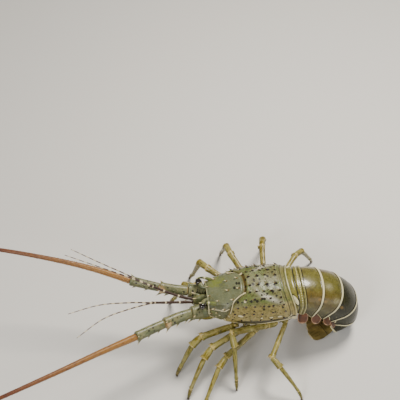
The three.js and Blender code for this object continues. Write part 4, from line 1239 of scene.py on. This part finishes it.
def makeSternum():
    t = np.linspace(sternum["front"], sternum["rear"], sternum["steps"] + 1)
    bottom, hips = sternum["bottom"], sternum["hips"]
    between, points, lines = (hips[:-1] + hips[1:]) / 2, [], []
    for place, at in zip(t, shell["front"] + t * shell["length"]):
        top, wide, narrow = sternumTop(place), sternumTopHalf(place), sternumBottomHalf(place)
        half = [[0, top], [wide, top], [wide - 0.6, top - 2.4]]
        half += [[narrow, bottom], [narrow * 0.5, bottom + 0.4], [0, bottom + 0.8]]
        right = rounded(np.array(half), 2)
        outline = np.concatenate([right, right[::-1][1:-1] * [-1, 1]])
        groove = bump(np.abs(between - at).min(), 0.8) * (outline[:, 1] < top - 2)
        middle = bump(outline[:, 0], 0.8) * (outline[:, 1] < bottom + 2)
        outline = outline * (1 - 0.04 * groove[:, None] * [1, 0])
        outline = outline + np.stack([0 * groove, 0.7 * groove + 0.4 * middle], -1)
        points.append(np.column_stack([np.full(len(outline), at), outline]))
        lines.append(np.clip(groove + 0.6 * middle, 0, 1))
    form, points = Form(), np.array(points)
    # Painted shade on the upper sides, up under the carapace's rim.
    lines = np.maximum(lines, 0.55 * smooth(46, 49, points[..., 2]))
    pale = 0.5 * smooth(0.4, 0, lines) * bump(np.abs(points[..., 1]) - 6, 2.5) * (points[..., 2] < 47)
    form.grid(points, line=lines, pale=pale)
    # Low knobs in two rows on each plate.
    knobs = [[at + shift, side * out, bottom + 0.5] for at in hips for shift in (-2.5, 2.5)
             for out in (3.5, 8) for side in sides.values()]
    spikes(form, knobs, np.tile([0.0, 0, -1], (len(knobs), 1)), 0.9, 0.9, 10, sunk=0.5)
    form.build("thoraxUnderside", "sternum", "thorax_underside")


makeSternum()

# limbs


def limbPart(form, line, radii, part, joint=None, count=22, up=(0, 0, 1), squash=1.0, keel=0.05, slant=0.0,
             **marks):
    turns, gone = turnsOf(count), lengthAlong(line)
    skin, _ = tubeRings(line, radii, radii * squash, count, up, 1 + keel * np.cos(3 * turns + 0.6)[:, None])
    top, share = unit(skin - line[:, None])[..., 2], (gone / gone[-1])[:, None]
    skin = skin + unit(line[-1] - line[0]) * (slant * top * smooth(0.85, 1, share))[..., None]  # longer above
    if joint is not None:
        marks["joint"] = joint[:, None] * (0.85 + 0.25 * np.cos(2 * turns + part))
    form.grid(skin, run=gone, turn=(turns * 3.5)[None], part=part * 7.0, top=top, **marks)
    return skin


def collars(shares, span, *places):  # marks round a limb, each the share it lies at and a width in mm
    return sum(bump((shares - at) * span, width) for at, width in places)


def straight(start, end, shares, sag=0.0, sagWay=(0, 0, 1)):
    droop = sag * np.sin(shares * math.pi)
    return mix(start, end, shares[:, None]) + np.asarray(sagWay, float) * droop[:, None]


profiles = {
    "coxa": curve([[0, 0.9], [0.3, 1.04], [0.7, 1.02], [0.9, 1.1], [1, 0.8]]),
    "merus": curve([[0, 0.6], [0.05, 0.8], [0.12, 0.9], [0.5, 0.99], [0.85, 1.0], [0.93, 1.12], [0.975, 1.18],
                    [0.985, 1.1], [1, 0.72]]),
    "carpus": curve([[0, 0.6], [0.1, 0.82], [0.4, 0.98], [0.8, 1.04], [0.94, 1.1], [0.98, 1.04], [1, 0.66]]),
    "shank": curve([[0, 0.52], [0.06, 0.74], [0.18, 0.82], [0.55, 0.72], [0.88, 0.58], [0.96, 0.66],
                    [0.985, 0.62], [1, 0.4]]),
    "claw": curve([[0, 0.38], [0.1, 0.52], [0.4, 0.46], [0.8, 0.3], [1, 0.2]]),
}
legs = {  # hip, its lean, (turn, rise, length) of two pieces, (turn, length) of the shank, radius
    "left": [
        (-21, (0, 0), (14, -1, 40), (34, -20, 13), (30, 31), 4.1),
        (-9.5, (0, -0.1), (24, -7, 45), (48, -14, 14), (52, 35), 3.9),
        (3, (0.1, -0.25), (30, -20, 49), (50, -4, 15), (60, 38), 3.7),
        (16, (0.38, 0.34), (10, 7, 51), (104, -34, 15), (88, 38), 3.6),
        (26.5, (0.75, 0.05), (61, -6, 46), (128, -16, 13), (136, 34), 3.3),
    ],
    "right": [
        (-21, (0, 0), (18, 2, 40), (30, -20, 13), (24, 31), 4.1),
        (-9.5, (0, 0), (42, 9, 45), (60, -20, 14), (54, 35), 3.9),
        (3, (0, 0), (68, 10, 49), (82, -22, 15), (84, 38), 3.7),
        (15.5, (0.2, 0), (96, 9, 51), (104, -24, 15), (108, 38), 3.6),
        (26.5, (0.5, 0), (128, 4, 46), (138, -22, 13), (142, 34), 3.3),
    ],
}
legUp = np.array([-1.0, 0, 0])  # keeps the legs' rings from twisting
claw = {"length": 14.5, "fall": 66, "tip": 0.75}
coxaLength = 8.5
teeth = {
    "angles": np.array([0.0, 0.8, -0.8, 1.7, -1.7]),
    "knee": {
        "out": 1.02,
        "splay": 0.45,
        "tall": [3.6, 2.6, 2.6, 1.8, 1.8],
        "thick": [1, 0.8, 0.8, 0.65, 0.65],
    },
    "wrist": {"out": 0.96, "splay": 0.5, "tall": [3, 2, 2], "thick": [0.9, 0.65, 0.65]},
}
plainShares, nearEnds = np.linspace(0, 1, 26), [0.01, 0.02, 0.93, 0.95, 0.97, 0.98, 0.99]
lowerShares = np.unique(np.concatenate([plainShares, nearEnds]))
upperShares = np.unique(np.concatenate([plainShares, nearEnds, [0.15, 0.16, 0.17, 0.18, 0.19]]))


def heading(side, turn, rise):
    turn, level = turn * degrees, math.cos(rise * degrees)
    return np.array([-level * math.cos(turn), side * level * math.sin(turn), math.sin(rise * degrees)])


def flank(side, x, share):
    t = (x - shell["front"]) / shell["length"]
    out = mix(sternumBottomHalf(t), sternumTopHalf(t) - 0.6, share)
    return np.array([x, side * out, mix(sternum["bottom"], sternumTop(t) - 2.4, share)])


def hairs(form, line, radii, rows, each, tall, seed, ahead=0.8):
    draw, count = np.random.default_rng(seed), rows * each
    ways, wides, talls = framesAlong(line)
    i = np.clip((draw.uniform(0.05, 0.97, count) * (len(line) - 1)).astype(int), 0, len(line) - 2)
    out = outFrom(wides, talls, i, np.repeat(turnsOf(rows), each) + draw.normal(0, 0.16, count))
    roots = line[i] + out * (radii[i] * 0.92)[:, None]
    tall = tall * draw.uniform(0.6, 1.1, count)
    spikes(form, roots, out + ways[i] * ahead, tall, 0.1, 3, sunk=0.2, hair=1.0)


def addTeeth(form, place, way, radius, kind, hook=(0, 0, 0)):  # round a far end, the longest above
    wide, shape = unit(np.cross(legUp, way)), teeth[kind]
    over, angles = np.cross(way, wide), teeth["angles"][: len(shape["tall"]), None]
    outs = np.cos(angles) * over * (1 if over[2] > 0 else -1) + np.sin(angles) * wide
    roots, ways = place + outs * radius * shape["out"], outs * shape["splay"] + way
    spikes(form, roots, ways, shape["tall"], shape["thick"], 9, hook=hook)


def makeLeg(name, side, i, leg):
    hip, lean, (turn, rise, length), (nextTurn, nextRise, nextLength), shank, radius = leg
    socket, seed = flank(side, hip, 0.46), 10 * i + (side > 0)
    lengthwise = flank(side, hip + 1, 0.46) - flank(side, hip - 1, 0.46)
    out = unit(np.cross(lengthwise, flank(side, hip, 0.5) - socket))
    out = out * np.sign(out[1]) * side
    root = socket + out * (seam + 0.1)
    elbow = root + unit(out + [lean[0], 0, lean[1]]) * coxaLength
    merusWay, carpusWay = heading(side, turn, rise), heading(side, nextTurn, nextRise)
    knee = elbow + merusWay * length
    kneeWay = unit(merusWay + carpusWay)
    start = knee + kneeWay * seam
    wrist = start + carpusWay * nextLength
    turn, length = shank
    fall = math.asin((wrist[2] - claw["length"] * math.sin(claw["fall"] * degrees)) / length) / degrees
    ankle = wrist + heading(side, turn, -fall) * length
    tip = ankle + heading(side, turn, -claw["fall"]) * claw["length"]
    tip[2] = 0

    upper, shares = Form(), np.linspace(0, 1, 18)
    line, radii = straight(root, elbow + unit(elbow - root) * 1.5, shares), profiles["coxa"](shares) * radius
    limbPart(upper, line, radii, i + 0.1, smooth(0.75, 0.95, shares), up=legUp)
    shares = upperShares
    crease = 0.16 * collars(shares, 60, (0.17, 0.8)) - 0.05 * collars(shares, 60, (0.14, 0.9))
    radii = (profiles["merus"](shares) - crease) * radius
    line = straight(elbow - merusWay * 1.2, knee, shares, 0.7)
    cream = 0.62 * collars(shares, 60, (0.26, 5))
    cream = cream + 0.6 * collars(shares, 60, (0.58 + 0.06 * math.sin(2 * i), 3))
    joint = 0.9 * collars(shares, 60, (0.17, 1.0)) + 0.45 * smooth(0.86, 0.93, shares)
    joint = joint + 0.55 * smooth(0.94, 0.98, shares) + 0.8 * smooth(0.04, 0, shares)
    limbPart(upper, line, radii, i + 0.3, joint, up=legUp, squash=0.9, slant=1.3, patch=cream)
    addTeeth(upper, mix(elbow, knee, 0.955), merusWay, radius, "knee", (0, 0, -0.08))
    hairs(upper, line, radii, 3, 9, 1.0, 400 + seed)
    upper.build(f"leg{i + 1}Upper{name.title()}", f"leg_{i + 1}_upper_{name}", "leg_shell")

    lower, shares = Form(), lowerShares
    line, radii = straight(start - kneeWay * 1.2, wrist, shares, 0.5), profiles["carpus"](shares) * radius
    joint = smooth(0.1, 0.0, shares) + smooth(0.92, 0.97, shares)
    limbPart(lower, line, radii, i + 0.5, joint, up=legUp, slant=0.8)
    addTeeth(lower, mix(start, wrist, 0.88), carpusWay, radius, "wrist")
    line, radii = straight(wrist - carpusWay * 1.4, ankle, shares, 0.9), profiles["shank"](shares) * radius
    joint = 0.9 * smooth(0.06, 0.01, shares) + smooth(0.95, 0.98, shares)
    limbPart(lower, line, radii, i + 0.7, joint, up=legUp, squash=0.88, slant=0.5)
    clawLine = straight(ankle, tip, shares, 0.7, heading(side, turn, 20))
    clawLine[:, 2] = np.maximum(clawLine[:, 2], 0.0)
    clawRadii = np.maximum(profiles["claw"](shares) * radius, claw["tip"] * 0.9)
    skin = limbPart(Form(), clawLine, clawRadii, 0, up=legUp)
    skin[..., 2] = np.maximum(skin[..., 2], 0.0)
    lower.grid(skin, run=shares * claw["length"], turn=0.0, part=i + 0.9, joint=smooth(0.1, 0.02, shares),
               dark=0.9 * smooth(0.72, 0.86, shares))
    hairs(lower, clawLine, clawRadii, 6, 26, 1.7, 100 + seed)
    hairs(lower, line, radii, 4, 12, 1.3, 200 + seed)
    lower.build(f"leg{i + 1}Lower{name.title()}", f"leg_{i + 1}_lower_{name}", "leg_shell")


for name, side in sides.items():
    for i, leg in enumerate(legs[name]):
        makeLeg(name, side, i, leg)
print("legs are made")

# head

head = {
    "front": -51.4,
    "eyeOut": 8,
    "eyeHeight": 79.6,
    "jaw": [[-51.6, 4.4, 57], [-55, 4.6, 54.6], [-59, 3.4, 53.2], [-61.5, 0.7, 53]],
    "mouthLimb": [[-38.1, 5.4, 50], [-44, 7, 47.6], [-53, 8, 47], [-61, 8, 50], [-66, 6.6, 55]],
}


def mirrored(points, side):  # drawn for the right side
    return np.array(points) * [1, side, 1]


def makeEpistome():
    form, share = Form(), np.linspace(0, 1, 30)
    line = np.column_stack([head["front"] - 14.9 * share, 0 * share, 68.5 + 0.84 * share])
    wide = curve([[0, 4.1], [0.5, 4.2], [0.93, 3.9], [1, 3.3]])(share)
    tall = curve([[0, 9.4], [0.5, 8.6], [0.93, 6.6], [1, 5.6]])(share)
    skin, turns = tubeRings(line, wide, tall, 30)
    form.grid(skin, run=14 * share, turn=(turns * 4)[None], dark=(0.5 * bump(np.sin(turns), 0.2))[None])
    for side in sides.values():
        root, way = [head["front"] - 9.9, side * 2.4, 75.6], [-0.8, side * 0.25, 0.55]
        spikes(form, root, way, 7, 1.5, 14, sunk=2, hook=(-0.1, 0, 0))
    # Two jaws below it, with dark cutting edges.
    share = np.linspace(0, 1, 22)
    size = curve([[0, 2.2], [0.3, 3.1], [0.7, 2.6], [1, 1.3]])(share)
    for side in sides.values():
        skin, turns = tubeRings(smoothLine(mirrored(head["jaw"], side), 21), size, size * 0.8, 22)
        form.grid(skin, run=30 + 10 * share, turn=(turns * 3)[None], part=2.0 + side, joint=1.0,
                  dark=smooth(0.8, 0.95, share))
    form.build("frontPlate", "epistome", "antenna_shell")


articles = {  # "spines" are share along, turn in degrees and height
    "base": {
        "left": [[-51.4, 12, 67.3], [-61, 13.6, 67.8], [-70, 16, 69.6]],
        "right": [[-51.4, 12, 67.3], [-61, 12.8, 67.6], [-70, 13.6, 68.8]],
        "radii": [7, 7.8, 6.9],
        "spines": [(0.55, 20, 5.5), (0.9, 70, 7), (0.95, 150, 6), (0.9, -30, 5)],
        "knobs": 26,
    },
    "middle": {
        "left": [[-70.3, 16.1, 69.7], [-85, 21.3, 71.9], [-99.8, 28, 73.8]],
        "right": [[-70.3, 13.7, 68.9], [-85, 16, 70.8], [-99.8, 19.5, 72.6]],
        "radii": [5.2, 5.7, 5.9],
        "spines": [(0.2, 35, 5), (0.55, 30, 5.5), (0.92, 40, 6), (0.35, 140, 4.5), (0.7, 145, 5),
                   (0.95, 130, 6), (0.93, -60, 4.5)],
        "knobs": 34,
    },
    "outer": {
        "left": [[-100.1, 28.2, 73.9], [-115, 35, 75.8], [-130.6, 42.6, 77.6]],
        "right": [[-100.1, 19.6, 72.7], [-115, 24.2, 74.8], [-130.6, 29.6, 77]],
        "radii": [4.6, 5, 5.2],
        "spines": [(0.25, 30, 4), (0.6, 35, 4.4), (0.95, 40, 5), (0.4, 140, 3.8), (0.8, 140, 4.4),
                   (0.95, -50, 4)],
        "knobs": 26,
    },
}
articleEdge = curve([[0, -0.1], [0.05, 0], [0.85, 0], [0.92, 0.045], [0.97, 0.05], [1, -0.03]])


def articleMarks(kind, shares, length, draw):  # dark spots, and the cream patch at the far joint
    turns = turnsOf(60)
    dark = np.zeros((len(shares), len(turns)))
    places, angles = draw.uniform(0.08, 0.9, 16), draw.uniform(0, 2 * math.pi, 16)
    for at, turn, size in zip(places, angles, draw.uniform(0.5, 1.2, 16)):
        around = np.abs((turns - turn + math.pi) % (2 * math.pi) - math.pi) * 5.5
        away = np.hypot((shares[:, None] - at) * length, around)
        dark = np.maximum(dark, smooth(size * 1.4, size * 0.7, away))
    end = 0.3 * bump((shares - 1) * length, 1.5)
    if kind == "middle":
        end = 0.95 * bump((shares - 0.92) * length, 4.4)
    elif kind == "outer":
        end = end + 0.6 * bump(shares * length, 2.2)
    return {"dark": dark, "patch": end[:, None] * (0.3 + 0.7 * smooth(-0.5, 0.5, np.cos(turns + 0.4)))}


def makeArticle(number, kind, name, side):
    article, shares = articles[kind], np.linspace(0, 1, 111)
    line = smoothLine(mirrored(article[name], side), len(shares) - 1)
    radii = curve(list(zip([0, 0.5, 1], article["radii"])))(shares) * (1 + articleEdge(shares))
    draw = np.random.default_rng(40 + number + 5 * (side > 0))
    marks = articleMarks(kind, shares, lengthAlong(line)[-1], draw)
    form = Form()
    limbPart(form, line, radii, number + 3 * (side > 0) + 0.5, smooth(0.05, 0, shares), count=60, **marks)
    ways, wides, talls = framesAlong(line)
    for share, turn, tall in article["spines"]:
        i = int(share * (len(line) - 1))
        wide = unit(np.cross([0, 0, 1], ways[i])) * -side
        over = np.cross(ways[i], wide) * side
        out = wide * math.cos(turn * degrees) + over * math.sin(turn * degrees)
        root, way = line[i] + out * (radii[i] - 0.5), out * 0.72 + ways[i] * 0.7
        spikes(form, root, way, tall, 0.17 * tall + 0.4, 12, sunk=1.2, hook=ways[i] * 0.12)
    # Low pale knobs between the spines, none along the outer side.
    count = article["knobs"]
    i = (draw.uniform(0.1, 0.92, count) * (len(line) - 1)).astype(int)
    outs = outFrom(wides, talls, i, draw.uniform(-1.9, 1.9, count) + (math.pi if side < 0 else 0.0))
    tall, radius = draw.uniform(0.5, 1.1, count), draw.uniform(0.35, 0.6, count)
    spikes(form, line[i] + outs * (radii[i] * 0.97)[:, None], outs + ways[i] * 0.5, tall, radius, 8, sunk=0.3)
    form.build(f"antenna{kind.title()}{name.title()}", f"antenna_{kind}_{name}", "antenna_shell")


whip = {
    "left": [[-130.9, 42.8, 77.6], [-169, 61, 84], [-210, 81, 90], [-268, 107.5, 97], [-330, 132, 100],
             [-398, 154, 99], [-462, 170, 93]],
    "right": [[-130.9, 29.7, 77], [-172, 45, 86], [-220, 58, 96], [-285, 72, 107], [-350, 82, 113],
              [-412, 92, 115], [-470, 104, 111]],
    "root": 3.8,
    "tip": 0.5,
    "pitch": 1.5,
    "bristles": {"turns": (0.5, 2.2, 3.8, 5.4), "places": np.arange(6, 900, 7)},
}


def wave(gone, pitch):  # swings between 0 and 1 along a line
    return 0.5 + 0.5 * np.cos(2 * math.pi * gone / pitch)


def makeWhip(name, side):
    line = smoothLine(mirrored(whip[name], side), 1100)
    share, ring = np.arange(len(line)) / (len(line) - 1), wave(lengthAlong(line), whip["pitch"])
    radii = mix(whip["root"], whip["tip"], share**0.8)
    pinched = radii * (1 - 0.05 * ring**3)
    form, draw = Form(), np.random.default_rng(60 + (side > 0))
    form.grid(tubeRings(line, pinched, pinched, 14)[0], share=share, ring=ring**4)
    ways, wides, talls = framesAlong(line)
    places = whip["bristles"]["places"]
    for turn in whip["bristles"]["turns"]:
        i = places + draw.integers(-2, 3, len(places))
        out = outFrom(wides, talls, i, turn + draw.normal(0, 0.2, len(places)))
        roots, thin = line[i] + out * (radii[i] * 0.95)[:, None], 0.05 + 0.07 * radii[i]
        spikes(form, roots, out * 0.5 + ways[i], 0.35 + 0.32 * radii[i], thin, 4, sunk=0.2, share=0.3)
    form.build(f"antennaWhip{name.title()}", f"antenna_whip_{name}", "antenna_whip")


antennule = {
    "stalk": [[-66.6, 1.95, 69.8], [-74, 2.8, 72], [-90, 6, 79], [-108, 10.5, 88.5]],
    "stalkRadii": [1.7, 1.5, 1.6, 1.7, 1.35, 1.45, 1.5, 1.25, 1.35],
    "root": [-108.4, 10.6, 88.7],
    "fork": [-111.5, 11.4, 90.3],
    "branches": [
        [[-135, 17, 103], [-165, 25, 116], [-196, 37, 124]],
        [[-134, 22, 99], [-162, 36, 107], [-190, 56, 108]],
    ],
    "rootRadius": 0.85,
    "tipRadius": 0.35,
    "ring": 0.9,
    "band": 9,
}


def makeAntennule(name, side):
    form, share = Form(), np.arange(65) / 64
    joints = collars(share, 45, (0.42, 0.9), (0.75, 0.9))
    radii = curve(list(zip(np.arange(9) / 8, antennule["stalkRadii"])))(share) * (1 - 0.18 * joints)
    skin, _ = tubeRings(smoothLine(mirrored(antennule["stalk"], side), 64), radii, radii, 18)
    form.grid(skin, share=0.0, pale=np.clip(joints + smooth(0.97, 1, share), 0, 1), ring=0.0)
    form.build(f"antennuleStalk{name.title()}", f"antennule_stalk_{name}", "antennule")
    form, share = Form(), np.linspace(0, 1, 12)
    root, fork = mirrored(antennule["root"], side), mirrored(antennule["fork"], side)
    radii = curve([[0, 1.2], [0.3, 1.45], [0.8, 1.45], [1, 1.0]])(share)
    skin, _ = tubeRings(mix(root, fork, share[:, None]), radii, radii, 16)
    form.grid(skin, share=0.0, pale=smooth(0.8, 1, share))
    share = np.arange(421) / 420
    for branch in antennule["branches"]:
        line = smoothLine([mix(root, fork, 0.5), *mirrored(branch, side)], 420)
        gone, radii = lengthAlong(line), mix(antennule["rootRadius"], antennule["tipRadius"], share)
        radii = radii * (1 - 0.07 * wave(gone, antennule["ring"]))
        pale = smooth(0.62, 0.7, wave(gone - antennule["band"] / 4, antennule["band"]))
        form.grid(tubeRings(line, radii, radii, 10)[0], share=share, pale=pale, ring=0.0)
    form.build(f"antennuleFlagella{name.title()}", f"antennule_flagella_{name}", "antennule")


eye = {"radius": 3.7, "depth": 6.6, "back": [2.6, 2.85, 3.15, 3.4, 3.58, 3.68]}


def makeEye(name, side):
    root = np.array([head["front"], side * head["eyeOut"], head["eyeHeight"]])
    end = root + [-5.5, side * 5.2, 0.3]
    line, share = smoothLine([root, root + [-3.7, side * 1.2, 0], end], 30), np.arange(31) / 30
    radii = curve([[0, 2.5], [0.45, 2.25], [0.85, 2.9], [1, 2.7]])(share)
    form = Form()
    limbPart(form, line, radii, 20 + side, 0.8 * smooth(0.85, 1, share), count=24, keel=0.0)
    form.build(f"eyestalk{name.title()}", f"eyestalk_{name}", "antenna_shell")
    # The eye's rounded front, worked from its back face to its tip.
    way, angle, turns = unit([-0.45, side * 0.86, 0.22]), np.linspace(0, math.pi / 2, 24), turnsOf(36)
    depth = np.concatenate([[0.0, 0.01, 0.05, 0.12, 0.22, 0.34], 0.42 + 0.58 * np.sin(angle)])
    sizes = np.maximum(np.concatenate([eye["back"], eye["radius"] * np.cos(angle)]), 0.02)
    wide = unit(np.cross(way, [0, 0, 1]))
    circle = wide * np.cos(turns)[:, None] + np.cross(wide, way) * np.sin(turns)[:, None]
    skin = (end + way * (seam + depth * eye["depth"])[:, None])[:, None] + circle[None] * sizes[:, None, None]
    form = Form()
    form.grid(skin[:, ::-1], joint=smooth(0.1, 0.02, depth))
    form.build(f"eye{name.title()}", f"eye_{name}", "eye")


def makeMouthLimb(name, side):
    line, share = smoothLine(mirrored(head["mouthLimb"], side), 60), np.arange(61) / 60
    joints = collars(share, 36, (0.3, 0.9), (0.62, 0.9), (0.84, 0.8))
    wide = curve([[0, 3.2], [0.25, 3.2], [0.55, 2.7], [0.8, 2.3], [0.95, 1.6], [1, 1.0]])(share)
    wide = wide * (1 - 0.12 * joints)
    form = Form()
    limbPart(form, line, wide, 30 + side, np.clip(joints, 0, 1), squash=1.1)
    hairs(form, line, wide, 5, 26, 1.6, 300 + (side > 0), ahead=0.5)
    form.build(f"mouthLimb{name.title()}", f"maxilliped_{name}", "leg_shell")


makeEpistome()
for name, side in sides.items():
    for number, kind in enumerate(articles):
        makeArticle(number, kind, name, side)
    makeWhip(name, side)
    makeAntennule(name, side)
    makeEye(name, side)
    makeMouthLimb(name, side)
print("head is made")
